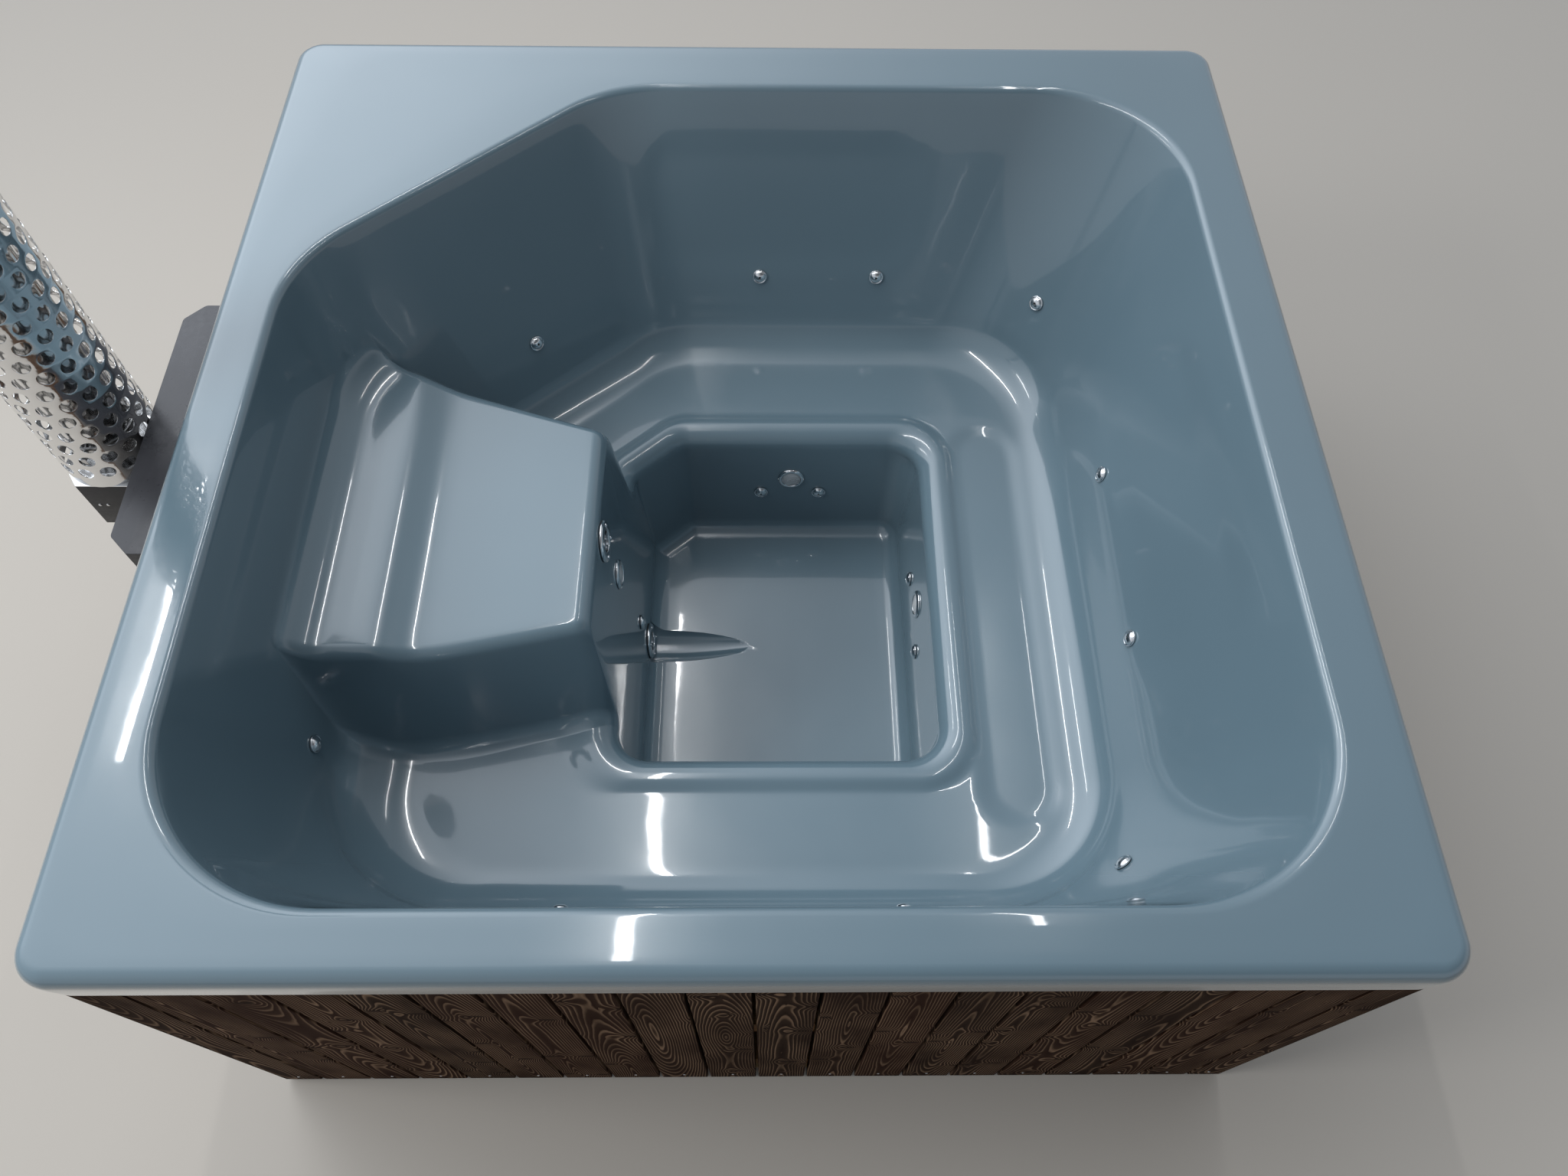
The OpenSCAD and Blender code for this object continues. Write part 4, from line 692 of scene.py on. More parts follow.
@dataclass(frozen=True)
class Wood(Finish):
    """Brushed or planed softwood: growth rings cut flat, pale lines on the ground, and knots."""

    line: tuple[float, float, float] = (0.3, 0.24, 0.19)
    cut: Cut = Cut.BOARD
    ring: float = 0.0046
    knots: float = 1.0
    cell: tuple[float, float] = (9.0, 3.6)
    knot_size: tuple[float, float] = (0.017, 0.008)
    swirl_size: tuple[float, float] = (0.03, 0.024)
    swirl_depth: float = 0.01
    waver: float = 0.0045
    relief: float = 0.0006

    def place(self, tree: Tree) -> tuple[Any, Any, Any]:
        """Finds the pattern's place on the timber.

        Args:
            tree: The material's tree.

        Returns:
            The sockets across, along and seed, in metres.
        """
        if self.cut is Cut.BOARD:
            spot = tree.add("Attribute", attribute_name="grain").outputs["Vector"]
        else:
            spot = tree.where()
        parts = tree.add("SeparateXYZ", {0: spot}).outputs
        order = {Cut.BOARD: (0, 1, 2), Cut.ALONG_X: (1, 0, 2), Cut.ALONG_Y: (0, 1, 2),
                 Cut.ALONG_Z: (0, 2, 1)}[self.cut]
        across, along, other = (parts[i] for i in order)
        if self.cut is Cut.BOARD:
            return across, along, other
        return across, along, tree.times(tree.calc("ROUND", tree.times(other, 9.0)), 3.7)

    def pith(self, tree: Tree, across: Any, along: Any, seed: Any) -> Any:
        """Works out the distance from the pith, which wanders below the board along its length.

        Args:
            tree: The material's tree.
            across: Place across the board.
            along: Place along it.
            seed: The board's own number.

        Returns:
            The root of the squared way across and the squared depth.
        """
        drift = tree.noise(tree.point(seed, tree.times(along, 0.8)), 1.0, 1.0)
        side = tree.noise(tree.point(seed, 7.3), 1.3, 0.0)
        depth = tree.times(tree.calc("SUBTRACT", drift, 0.42), 0.22)
        shift = tree.plus(across, tree.times(tree.calc("SUBTRACT", side, 0.5), 0.09))
        return tree.calc("SQRT", tree.plus(tree.times(shift, shift), tree.times(depth, depth)))

    def knot_gap(self, tree: Tree, across: Any, along: Any, seed: Any) -> tuple[Any, Any]:
        """Works out the way from the nearest knot, one to each cell of the board.

        Args:
            tree: The material's tree.
            across: Place across the board.
            along: Place along it.
            seed: The board's own number.

        Returns:
            The way across and the way along, in metres.
        """
        wide, tall = self.cell
        place = tree.point(tree.times(across, wide), tree.times(along, tall), seed)
        spots = tree.add("TexVoronoi", {"Vector": place, "Scale": 1.0, "Randomness": 0.8},
                         voronoi_dimensions="3D")
        away = tree.add("VectorMath", {0: place, 1: spots.outputs["Position"]},
                        operation="SUBTRACT").outputs[0]
        gap = tree.add("SeparateXYZ", {0: away}).outputs
        return tree.calc("DIVIDE", gap[0], wide), tree.calc("DIVIDE", gap[1], tall)

    def pattern(self, tree: Tree) -> None:
        """Rings are level lines of the distance from a wandering pith, drawn past each knot.

        Args:
            tree: The material\'s tree.
        """
        across, along, seed = self.place(tree)
        dx, dy = self.knot_gap(tree, across, along, seed)

        def hump(size: tuple[float, float]) -> Any:
            """Makes a hump exp(-(dx/wide)^2 - (dy/tall)^2) round each knot.

            Args:
                size: Its width and its height in metres.

            Returns:
                The hump's height, 1 in the middle.
            """
            u, v = tree.calc("DIVIDE", dx, size[0]), tree.calc("DIVIDE", dy, size[1])
            s = tree.plus(tree.times(u, u), tree.times(v, v))
            return tree.calc("POWER", math.e, tree.times(s, -1.0))

        def grained(wide: float, tall: float, detail: float) -> Any:
            """Returns a noise with its own scale across and along the board."""
            spot = tree.point(tree.times(across, wide), tree.times(along, tall), seed)
            return tree.noise(spot, 1.0, detail)

        swirl = tree.times(hump(self.swirl_size), self.swirl_depth * self.knots)
        radius = tree.plus(tree.calc("SUBTRACT", self.pith(tree, across, along, seed), swirl),
                           tree.times(grained(26.0, 5.0, 3.0), self.waver))
        phase = tree.calc("FRACT", tree.calc("DIVIDE", radius, self.ring))
        line = tree.ramp(phase, [(0.0, 0.0), (0.55, 0.1), (0.84, 1.0), (0.94, 0.45), (1.0, 0.0)])
        fibre = grained(900.0, 14.0, 2.0)
        share = tree.times(line, tree.ramp(grained(14.0, 4.0, 3.0), [(0.3, 0.2), (0.62, 1.0)]))
        ground = tree.mix(tree.ramp(fibre, [(0.3, 0.0), (0.75, 1.0)]), shaded(self.colour, 0.5),
                          self.colour)
        warm = tree.noise(tree.point(seed, 3.1), 2.7, 0.0)
        ground = tree.mix(tree.ramp(warm, [(0.35, 0.0), (0.65, 0.6)]), ground,
                          tuple(c * f for c, f in zip(self.colour, (1.35, 0.98, 0.85))))
        knot = tree.times(hump(self.knot_size), self.knots)
        tone = tree.mix(tree.ramp(knot, [(0.25, 0.0), (0.6, 0.75)]),
                        tree.mix(share, ground, self.line), shaded(self.colour, 0.55))
        height = tree.plus(tree.times(line, 0.8), tree.times(fibre, 0.3))
        tree.feed(tree.shader, {"Base Color": tone, "Roughness": self.rough,
                                "Specular IOR Level": 0.05,
                                "Normal": tree.bump(height, self.relief, 0.7)})


@dataclass(frozen=True)
class Lens(Finish):
    """Clear moulded plastic with a slight cloud."""

    def pattern(self, tree: Tree) -> None:
        """Lets light through, with a grey cloud and a fine bump.

        Args:
            tree: The material\'s tree.
        """
        cloud = tree.noise(tree.where(), 60.0, 3.0)
        tone = tree.mix(cloud, shaded(self.colour, 0.9), self.colour)
        tree.feed(tree.shader, {"Base Color": tone, "Transmission Weight": 0.55, "IOR": 1.46,
                                "Normal": tree.bump(cloud, 0.0002, 0.3)})


def srgb(red: float, green: float, blue: float) -> tuple[float, float, float]:
    """Returns a linear colour from one written in 0 to 255."""
    return tuple(((c / 255 + 0.055) / 1.055) ** 2.4 if c > 10 else c / 255 / 12.92
                 for c in (red, green, blue))


GELCOAT = Gelcoat("tub_gelcoat", "gelcoat", srgb(97, 118, 129), 0.16)
BOARD = Wood("brushed_board", "boards", srgb(41, 24, 15), 0.85, srgb(148, 121, 98))
TIMBER_X = Wood("frame_timber_x", "timber", srgb(205, 170, 124), 0.6, srgb(172, 128, 82),
                Cut.ALONG_X, 0.004, 0.5)
TIMBER_Z = Wood("frame_timber_z", "timber", srgb(203, 167, 121), 0.6, srgb(170, 126, 80),
                Cut.ALONG_Z, 0.004, 0.5)
PLY = Wood("base_ply", "timber", srgb(198, 163, 118), 0.6, srgb(176, 134, 88), Cut.ALONG_Y,
           0.011, 0.8)
CHROME = Metal("bright_chrome", "chrome", (0.83, 0.84, 0.85), 0.08, wear=0.12)
MIRROR = Metal("mirror_steel", "mirror_steel", (0.80, 0.79, 0.775), 0.055, (4.0, 4.0, 60.0),
               0.1, 1.0, 0.0022)
STEEL = Metal("small_steel", "steel_small", (0.66, 0.66, 0.66), 0.24, (70.0, 8.0, 8.0), 0.2)
JACKET = Metal("jacket_steel", "jacket", (0.46, 0.46, 0.47), 0.34, (6.0, 6.0, 50.0), 0.25)
IRON = Metal("grate_iron", "iron", (0.05, 0.048, 0.047), 0.6, (80.0, 80.0, 80.0), 0.4, 0.6)
CASING = Metal("stove_paint", "casing", (0.032, 0.032, 0.035), 0.42, (30.0, 30.0, 30.0), 0.3, 0.25)
TOP_PLATE = Metal("stove_top_paint", "casing", (0.04, 0.041, 0.047), 0.3, (20.0, 20.0, 20.0),
                  0.25, 0.12)
SLIDE = Metal("slide_steel", "air_slide", (0.55, 0.55, 0.56), 0.28, (8.0, 70.0, 8.0), 0.2)
HANDLE = Finish("handle_plastic", "handles", (0.028, 0.028, 0.03), 0.38)
PIPE = Finish("pipe_plastic", "pipe", (0.78, 0.79, 0.79), 0.32)
RUBBER = Finish("black_rubber", "rubber", (0.022, 0.022, 0.024), 0.62)
BLOWER = Finish("blower_plastic", "blower", (0.06, 0.062, 0.068), 0.45)
BRASS = Metal("valve_brass", "brass", (0.66, 0.47, 0.2), 0.25, (50.0, 50.0, 50.0), 0.25)
LEVER = Finish("lever_enamel", "lever", (0.42, 0.025, 0.02), 0.25)
LENS = Lens("clear_lens", "lens", (0.82, 0.85, 0.87), 0.12)

PLAIN_NODES: dict[str, Finish] = {
    "corner_posts": TIMBER_Z, "stove_studs": TIMBER_Z, "top_rails": TIMBER_X,
    "mid_rails": TIMBER_X, "base_rails": TIMBER_X, "base_joists": TIMBER_X, "base_board": PLY,
    "bench_props": TIMBER_Z, "footwell_pads": RUBBER, "jet_gaskets": RUBBER, "jet_nuts": PIPE,
    "jet_bodies": PIPE, "air_drops": PIPE, "air_main": PIPE, "foot_air_main": PIPE,
    "blower": BLOWER, "light_housings": PIPE, "light_nuts": PIPE, "port_gaskets": RUBBER,
    "port_nuts": PIPE, "upper_hose": RUBBER, "lower_hose": RUBBER, "hose_clamps": STEEL,
    "water_jacket": JACKET, "jacket_feet": IRON, "fire_grate": IRON, "drain_pipe": PIPE}


# The moulded shell

@dataclass
class Ring:
    """Level rings of the bowl: distances, corner radii and heights of the five sides, per row."""

    d: Array
    r: Array
    z: Array


@dataclass(frozen=True)
class Dish:
    """A rounded box pressed into a surface, in two of its directions, with a soft edge."""

    centre: tuple[float, float]
    half: tuple[float, float]
    corner: float
    depth: float
    edge: float

    def drop(self, u: Array, v: Array) -> Array:
        """Works out the depth: a smooth step of the distance from the box's outline.

        Args:
            u: First coordinate of the points.
            v: Second coordinate of the points.

        Returns:
            How deep each point is pressed.
        """
        qu = np.abs(u - self.centre[0]) - self.half[0] + self.corner
        qv = np.abs(v - self.centre[1]) - self.half[1] + self.corner
        outside = (np.hypot(np.maximum(qu, 0), np.maximum(qv, 0))
                   + np.minimum(np.maximum(qu, qv), 0) - self.corner)
        return self.depth * ease(0.5 - outside / self.edge)


@dataclass
class TubShell:
    """The moulded shell: square rim, five-sided bowl, bench, footwell, raised seat and bores.

    The sides are counted near, right, far, cut and left, and corner i lies before side i.
    """

    half: float = 1000.0
    rim_h: float = 1040.0
    lip_h: float = 88.0
    lip_in: tuple[float, ...] = (4.5, 2.9, 1.2, 0.0)
    rim_corner: float = 55.0
    rim_edge: float = 25.0
    wall: float = 8.0
    roll_r: float = 18.0
    bowl_r: float = 290.0
    bench_z: float = 490.0
    dish: float = 10.0
    floor_z: float = 155.0
    middle: tuple[float, float] = (47.5, -60.5)
    low_port: tuple[float, float, float] = (-255.4, -38.0, 183.0)
    channel_r: float = 51.0
    channel_l: float = 236.0
    channel_power: float = 2.2
    channel_more: float = 2.0
    channel_clear: float = 1.2
    channel_lead: float = 5.0
    channel_tip: float = 15.0
    channel_lean_l: float = 60.0
    seat_rise: float = 265.0
    seat_x: float = 283.0
    seat_edge: float = 30.0
    seat_start: float = 280.0
    seat_wall_r: float = 200.0
    seat_corner_r: float = 20.0
    ledge_rise: float = 23.0
    ledge_end: float = 192.0
    ledge_r: float = 80.0
    near_y: tuple[float, float] = (-362.0, -300.0)
    near_slope: float = 0.22
    near_turn: tuple[float, float] = (260.0, 420.0)
    far_y: tuple[float, float] = (178.0, 146.0)
    far_slope: float = 0.332
    past_far: float = 60.0
    face_foot_r: float = 40.0
    face_room: float = 12.0
    cut_limit: float = 0.85
    edge_r: float = 45.0
    floor_r: float = 40.0
    well_lean: float = 0.09
    upper_wall: float = 150.0
    corner_weight: float = 150.0
    rim_d: tuple[float, ...] = (898.0, 885.0, 850.0, 841.0, 889.0)
    well_d: tuple[float, ...] = (455.0, 378.0, 334.0, 368.0, 283.0)
    leans: tuple[float, ...] = (0.25, 0.38, 0.40, 0.38, 0.20)
    foot_r: tuple[float, ...] = (110.0, 110.0, 110.0, 110.0, 150.0)
    angles: Array = field(default_factory=lambda: np.radians([-90, 0, 90, 131.4, 180, 270]))
    wall_foot: Array = field(default_factory=lambda: np.array([265.0, 270, 275, 250, 230]))
    bench_corner: Array = field(default_factory=lambda: np.array([180.0, 200, 220, 180, 140]))
    edge_corner: Array = field(default_factory=lambda: np.array([95.0, 100, 100, 85, 62]))
    well_corner: Array = field(default_factory=lambda: np.array([55.0, 62, 62, 45, 22]))
    floor_corner: Array = field(default_factory=lambda: np.array([12.0, 16, 16, 12, 8]))
    bench_dish: Dish = Dish((524.0, -110.0), (70.0, 475.0), 68.0, 6.0, 40.0)
    right_panel: Dish = Dish((-60.0, 800.0), (330.0, 130.0), 70.0, 3.0, 30.0)
    far_panel: Dish = Dish((60.0, 800.0), (300.0, 130.0), 70.0, 2.5, 30.0)
    level_band: tuple[float, float] = (1.0, 4.0)
    panel_band: tuple[float, float] = (110.0, 40.0)
    right_zone: tuple[float, float] = (560.0, 560.0)
    far_zone: tuple[float, float] = (530.0, 470.0)
    roll_n: int = 9
    fillet_n: int = 14
    edge_n: int = 10
    floor_n: int = 9
    corner_n: tuple[int, ...] = (22, 22, 22, 14)
    side_n: tuple[int, ...] = (36, 36, 22, 12)
    wall_n: tuple[int, int] = (5, 14)
    bench_n: int = 6
    well_n: tuple[int, int] = (2, 9)

    # Paths down one side: how far in from the rim's inner edge, and the height

    def turn(self, lean: float, r: float) -> tuple[float, float]:
        """Returns the wall's angle from upright and the tangent length of a radius at it."""
        phi = math.atan(lean)
        return phi, r * math.tan((math.pi / 2 - phi) / 2)

    def roll(self, lean: float) -> Array:
        """Rim into wall: (-t + r sin a, top - r + r cos a) as a turns from flat to the wall.

        Args:
            lean: How far the wall leans for each unit of height.

        Returns:
            Points of the path, as depth from the rim's edge and height.
        """
        phi, t = self.turn(lean, self.roll_r)
        a = np.linspace(0.0, math.pi / 2 - phi, self.roll_n + 1)
        return np.stack([-t + self.roll_r * np.sin(a),
                         self.rim_h - self.roll_r + self.roll_r * np.cos(a)], 1)

    def fillet(self, lean: float, r: float, low: float, n: int, x0: float, z0: float) -> Array:
        """Wall into a level: (c - r cos a, low + r - r sin a), c where the wall meets it.

        Args:
            lean: How far the wall leans for each unit of height.
            r: Radius between them.
            low: Height of the level.
            n: Steps of the radius.
            x0: Depth of the wall at its top.
            z0: Height of the wall's top.

        Returns:
            Points of the path.
        """
        phi, t = self.turn(lean, r)
        c = x0 + lean * (z0 - low) + t
        a = np.linspace(phi, math.pi / 2, n + 1)
        return np.stack([c - r * np.cos(a), low + r - r * np.sin(a)], 1)

    def edge(self, r: float, top: float, x_top: float) -> Array:
        """Level into the footwell's wall: (x - t + r sin a, top - r + r cos a).

        Args:
            r: Radius between them.
            top: Height of the level.
            x_top: Depth at which the wall's line meets the level.

        Returns:
            Points of the path.
        """
        phi, t = self.turn(self.well_lean, r)
        a = np.linspace(0.0, math.pi / 2 - phi, self.edge_n + 1)
        return np.stack([x_top - t + r * np.sin(a), top - r + r * np.cos(a)], 1)

    def well(self, x_well: float) -> Array:
        """The footwell's wall and the radius into its floor."""
        top = [[x_well + self.well_lean * (self.edge_r + 10), self.bench_z - self.edge_r - 10]]
        return np.concatenate([top, self.fillet(self.well_lean, self.floor_r, self.floor_z,
                                                self.floor_n, x_well, self.bench_z)])

    def side_path(self, i: int) -> Array:
        """Roll, wall, fillet, bench with its dished strip, edge and footwell of one side.

        Args:
            i: Number of the side.

        Returns:
            Points of the path.
        """
        dish_z = self.bench_z - self.dish
        x_well = self.rim_d[i] - self.well_d[i]
        down = self.fillet(self.leans[i], self.foot_r[i], dish_z, self.fillet_n, 0.0, self.rim_h)
        edge = self.edge(self.edge_r, self.bench_z, x_well)
        flat = [[blend(down[-1, 0], edge[0, 0], f), dish_z] for f in (0.3, 0.55, 0.8)]
        mid = [[self.leans[i] * self.upper_wall, self.rim_h - self.upper_wall]]
        return np.concatenate([self.roll(self.leans[i]), mid, down, flat, edge,
                               self.well(x_well)])

    def seat_path(self, i: int) -> Array:
        """The same over the raised seat: ledge at the wall, seat, front edge and front face.

        Args:
            i: Number of the side.

        Returns:
            Points of the path, as many as on the other sides.
        """
        lean = self.leans[i]
        seat_z = self.bench_z + self.seat_rise
        ledge_z = seat_z + self.ledge_rise
        front = self.rim_d[4] - self.seat_x - self.well_lean * self.seat_rise
        down = self.fillet(lean, self.ledge_r, ledge_z, self.fillet_n, 0.0, self.rim_h)
        edge = self.edge(self.seat_edge, seat_z, front)
        top = [[self.ledge_end, ledge_z + 1], [self.seat_start, seat_z + 2],
               [blend(self.seat_start, edge[0, 0], 0.6), seat_z]]
        mid = [[lean * self.upper_wall, self.rim_h - self.upper_wall]]
        return np.concatenate([self.roll(lean), mid, down, top, edge,
                               self.well(self.rim_d[i] - self.well_d[i])])

    def radii(self) -> Array:
        """Plan radius of each corner on each row, mixed from level to level."""
        stages = [(np.zeros(self.roll_n + 1), self.bowl_r * np.ones(5), self.bowl_r * np.ones(5)),
                  (np.array([0.5]), self.bowl_r * np.ones(5), self.wall_foot),
                  (np.linspace(0, 1, self.fillet_n + 1), self.wall_foot, self.bench_corner),
                  (np.array([0.25, 0.5, 0.75]), self.bench_corner, self.edge_corner),
                  (np.linspace(0, 0.75, self.edge_n + 1), self.edge_corner, self.well_corner),
                  (np.array([0.0]), self.well_corner, self.floor_corner),
                  (np.linspace(0.25, 1, self.floor_n + 1), self.well_corner, self.floor_corner)]
        return np.concatenate([blend(a, b, f[:, None]) for f, a, b in stages])

    def bench_ring(self) -> Ring:
        """Rings of the bowl without the raised seat."""
        paths = np.stack([self.side_path(i) for i in range(5)], 1)
        return Ring(np.array(self.rim_d) - paths[:, :, 0], self.radii(), paths[:, :, 1])

    @property
    def marks(self) -> tuple[int, int, int]:
        """Rows at the foot of the walls, at the start of the edge and at the footwell's top."""
        bench = self.roll_n + 2 + self.fillet_n
        return bench, bench + 4, bench + 5 + self.edge_n

    def seat_ring(self, bench: Ring) -> Ring:
        """Rings of the bowl with the raised seat on its left and cut sides.

        Args:
            bench: The rings without it.

        Returns:
            The rings with it, on as many rows.
        """
        foot, _, well = self.marks
        ring = Ring(bench.d.copy(), bench.r.copy(), bench.z.copy())
        for side in (4, 3):
            path = self.seat_path(side)[:well]
            ring.d[:well, side] = self.rim_d[side] - path[:, 0]
            ring.z[:well, side] = path[:, 1]
        fall = slice(self.roll_n + 2, foot + 1)
        ring.r[fall, 4] = blend(self.wall_foot[4], self.seat_wall_r,
                                np.linspace(0, 1, self.fillet_n + 1))
        past = slice(foot + 1, well)
        x = -ring.d[past, 4]
        spot = np.stack([x, self.far_line(x, 0.0) + self.past_far], 1)
        ring.d[past, 3] = spot @ heading(self.angles[3])
        ring.z[past, 3] = ring.z[past, 4]
        ring.r[past, 4] = self.seat_corner_r
        return ring

    def corner(self, ring: Ring, i: int) -> Array:
        """Centre of a corner's radius: where its two sides, moved in by the radius, meet.

        Args:
            ring: The rings.
            i: Number of the corner.

        Returns:
            The centre on each ring.
        """
        j = (i + 4) % 5
        a1, a2 = self.angles[j], self.angles[5 if i == 0 else i]
        d1, d2 = ring.d[:, j] - ring.r[:, i], ring.d[:, i] - ring.r[:, i]
        return np.stack([d1 * math.sin(a2) - d2 * math.sin(a1),
                         d2 * math.cos(a1) - d1 * math.cos(a2)], 1) / math.sin(a2 - a1)

    # Raised seat: plan lines of its two side faces, f from 0 at the foot to 1 at the top

    def near_line(self, x: Any, f: Any) -> Any:
        """Y of the near side face: slanted, then turning square to the left wall.

        Args:
            x: Place along the face.
            f: Share of the height.

        Returns:
            The Y of each place.
        """
        u = np.asarray(x + self.seat_x)
        start, end = self.near_turn
        mid = (start + end) / 2
        bent = (u + end) ** 2 / (2 * (end - start)) - mid
        u = np.where(u > -start, u, np.where(u < -end, -mid, bent))
        return blend(*self.near_y, f) + self.near_slope * u

    def far_line(self, x: Any, f: Any) -> Any:
        """Y of the far side face at x."""
        return blend(*self.far_y, f) - self.far_slope * (x + self.seat_x)

    def face_steps(self, line: tuple[float, float], n: int = 8, flat: int = 6) -> Array:
        """Steps over a side face: the radius at its foot, the face, and the seat's edge radius.

        Args:
            line: Y of the face's line at the foot and at the top.
            n: Steps of each radius.
            flat: Steps of the face.

        Returns:
            Share of the way between the two lines, and share of the height.
        """
        run = abs(line[1] - line[0])
        a = math.pi / 2 - math.atan(run / self.seat_rise)
        foot, top = self.face_foot_r, self.seat_edge
        k = np.linspace(0, a, n + 1)
        low = np.stack([(foot * np.sin(k) - foot * math.tan(a / 2)) / run,
                        foot * (1 - np.cos(k)) / self.seat_rise], 1)
        high = np.stack([(run + top * math.tan(a / 2) - top * np.sin(k)) / run,
                         1 - top * (1 - np.cos(k)) / self.seat_rise], 1)[::-1]
        between = blend(low[-1], high[0], np.linspace(0, 1, flat + 1)[1:-1, None])
        return np.concatenate([low, between, high])

    def left_parts(self, ring: Ring) -> dict[str, Array]:
        """Lengths along a ring's left side, its corner and the cut side, corners weighted.

        Args:
            ring: The rings.

        Returns:
            Each length, and the corner's centre, start and radius, by name.
        """
        a = self.angles[4] - self.angles[3]
        cut_n = heading(self.angles[3])
        cl, nl, fc = (self.corner(ring, i) for i in (4, 0, 3))
        r = ring.r[:, 4]
        cut = np.linalg.norm(fc + ring.r[:, 3:4] * cut_n - cl - r[:, None] * cut_n, axis=1)
        return {"side": cl[:, 1] - nl[:, 1], "bend": (r + self.corner_weight) * a, "cut": cut,
                "centre": cl, "start": nl[:, 1], "r": r, "arc": r * a}

    def left_place(self, part: dict[str, Array], y: Array) -> Array:
        """Finds where along the left stretch a Y lies.

        Args:
            part: The stretch's lengths.
            y: Values of Y, in rows and columns.

        Returns:
            The place of each.
        """
        side, bend, cut, arc = (part[k][:, None] for k in ("side", "bend", "cut", "arc"))
        l = y - part["start"][:, None]
        past = np.minimum(side + bend + l - side - arc, side + bend + self.cut_limit * cut)
        turn = side + (l - side) * bend / arc
        return np.where(l <= side, l, np.where(l <= side + arc, turn, past))

    def left_point(self, ring: Ring, part: dict[str, Array], p: Array) -> Array:
        """Finds the points of the left stretch: on its side, round its corner or past it.

        Args:
            ring: The rings.
            part: Their lengths.
            p: Places, in rows and columns.

        Returns:
            The point at each place.
        """
        a = self.angles[4] - self.angles[3]
        cut_n = heading(self.angles[3])
        side, bend, r = (part[k][:, None] for k in ("side", "bend", "r"))
        z4, z3 = ring.z[:, 4:5], ring.z[:, 3:4]
        f = (p - side) / bend
        one = np.stack([-ring.d[:, 4:5] + 0 * p, part["start"][:, None] + p, z4 + 0 * p], -1)
        arm = part["centre"][:, None, :]
        two = np.concatenate([arm + r[..., None] * heading(math.pi - a * f),
                              blend(z4, z3, f)[..., None]], -1)
        run = (p - side - bend)[..., None] * heading(self.angles[3] - math.pi / 2)
        three = np.concatenate([arm + r[..., None] * cut_n + run, (z3 + 0 * p)[..., None]], -1)
        return np.where((f <= 0)[..., None], one, np.where((f <= 1)[..., None], two, three))

    def left_stretch(self, bench: Ring, seat: Ring, lead: int = 16, over: int = 26) -> Array:
        """Left part of all rings, from the cut side over the raised seat to the near corner.

        Args:
            bench: The rings without the seat.
            seat: The rings with it.
            lead: Columns before its far side face.
            over: Columns over its top.

        Returns:
            Rows and columns of points.
        """
        bp, sp = self.left_parts(bench), self.left_parts(seat)
        x, xs = -bench.d[:, 4:5], -seat.d[:, 4:5]
        near = self.face_steps(self.near_y)[::-1]
        far = self.face_steps(self.far_y)
        end = (bp["side"] + bp["bend"] + bp["cut"])[:, None]
        first = self.left_place(bp, self.far_line(x, far[0, 0]))
        far_p = self.left_place(sp, self.far_line(xs, far[-1, 0]))
        near_p = self.left_place(sp, self.near_line(xs, near[0, 0]))
        room = self.face_room

        def face(steps: Array, line: Any) -> Array:
            """Mixes bowl and seat by the height share of each step of a side face.

            Args:
                steps: Shares of the way and of the height.
                line: The face's line in plan.

            Returns:
                The face's points, kept off the near corner by an even squeeze.
            """
            spot = self.left_place(bp, line(x, steps[None, :, 0]))
            spot = np.where(spot < room, room * np.exp((spot - room) / room), spot)
            low = self.left_point(bench, bp, spot)
            high = self.left_point(seat, sp, self.left_place(sp, line(xs, steps[None, :, 0])))
            return blend(low, high, steps[None, :, 1, None])

        k = np.arange(1, lead)[None, :] / lead
        j = np.arange(1, over)[None, :] / over
        return np.concatenate([self.left_point(bench, bp, blend(end, first, k)),
                               face(far, self.far_line),
                               self.left_point(seat, sp, blend(far_p, near_p, j)),
                               face(near, self.near_line)], 1)

    def arc(self, ring: Ring, i: int) -> Array:
        """Points of a corner: its centre plus its radius round the turn.

        Args:
            ring: The rings.
            i: Number of the corner.

        Returns:
            Rows and columns of points.
        """
        a0 = self.angles[4 if i == 0 else i - 1]
        a1 = self.angles[5 if i == 0 else i]
        f = np.linspace(0, 1, self.corner_n[i] + 1)
        flat = self.corner(ring, i)[:, None] + ring.r[:, i, None, None] * heading(blend(a0, a1, f))
        z = blend(ring.z[:, (i + 4) % 5, None], ring.z[:, i, None], f)
        return np.concatenate([flat, z[..., None]], -1)

    def ring_points(self, bench: Ring, seat: Ring) -> Array:
        """All points of all rings, straight stretches filled in between the corners.

        Args:
            bench: The rings without the raised seat.
            seat: The rings with it.

        Returns:
            Rows and columns of points, from the near left corner round.
        """
        parts = [self.arc(bench, i) for i in range(4)] + [self.left_stretch(bench, seat)]

        def fill(a: Array, b: Array, n: int) -> Array:
            """Returns the points between two columns, in equal steps."""
            return blend(a[:, -1:], b[:, :1], (np.arange(1, n) / n)[None, :, None])

        near, right, far, cut, left = parts
        return np.concatenate([near, fill(near, right, self.side_n[0]), right,
                               fill(right, far, self.side_n[1]), far,
                               fill(far, cut, self.side_n[2]), cut, left,
                               fill(left, near, self.side_n[3])], 1)

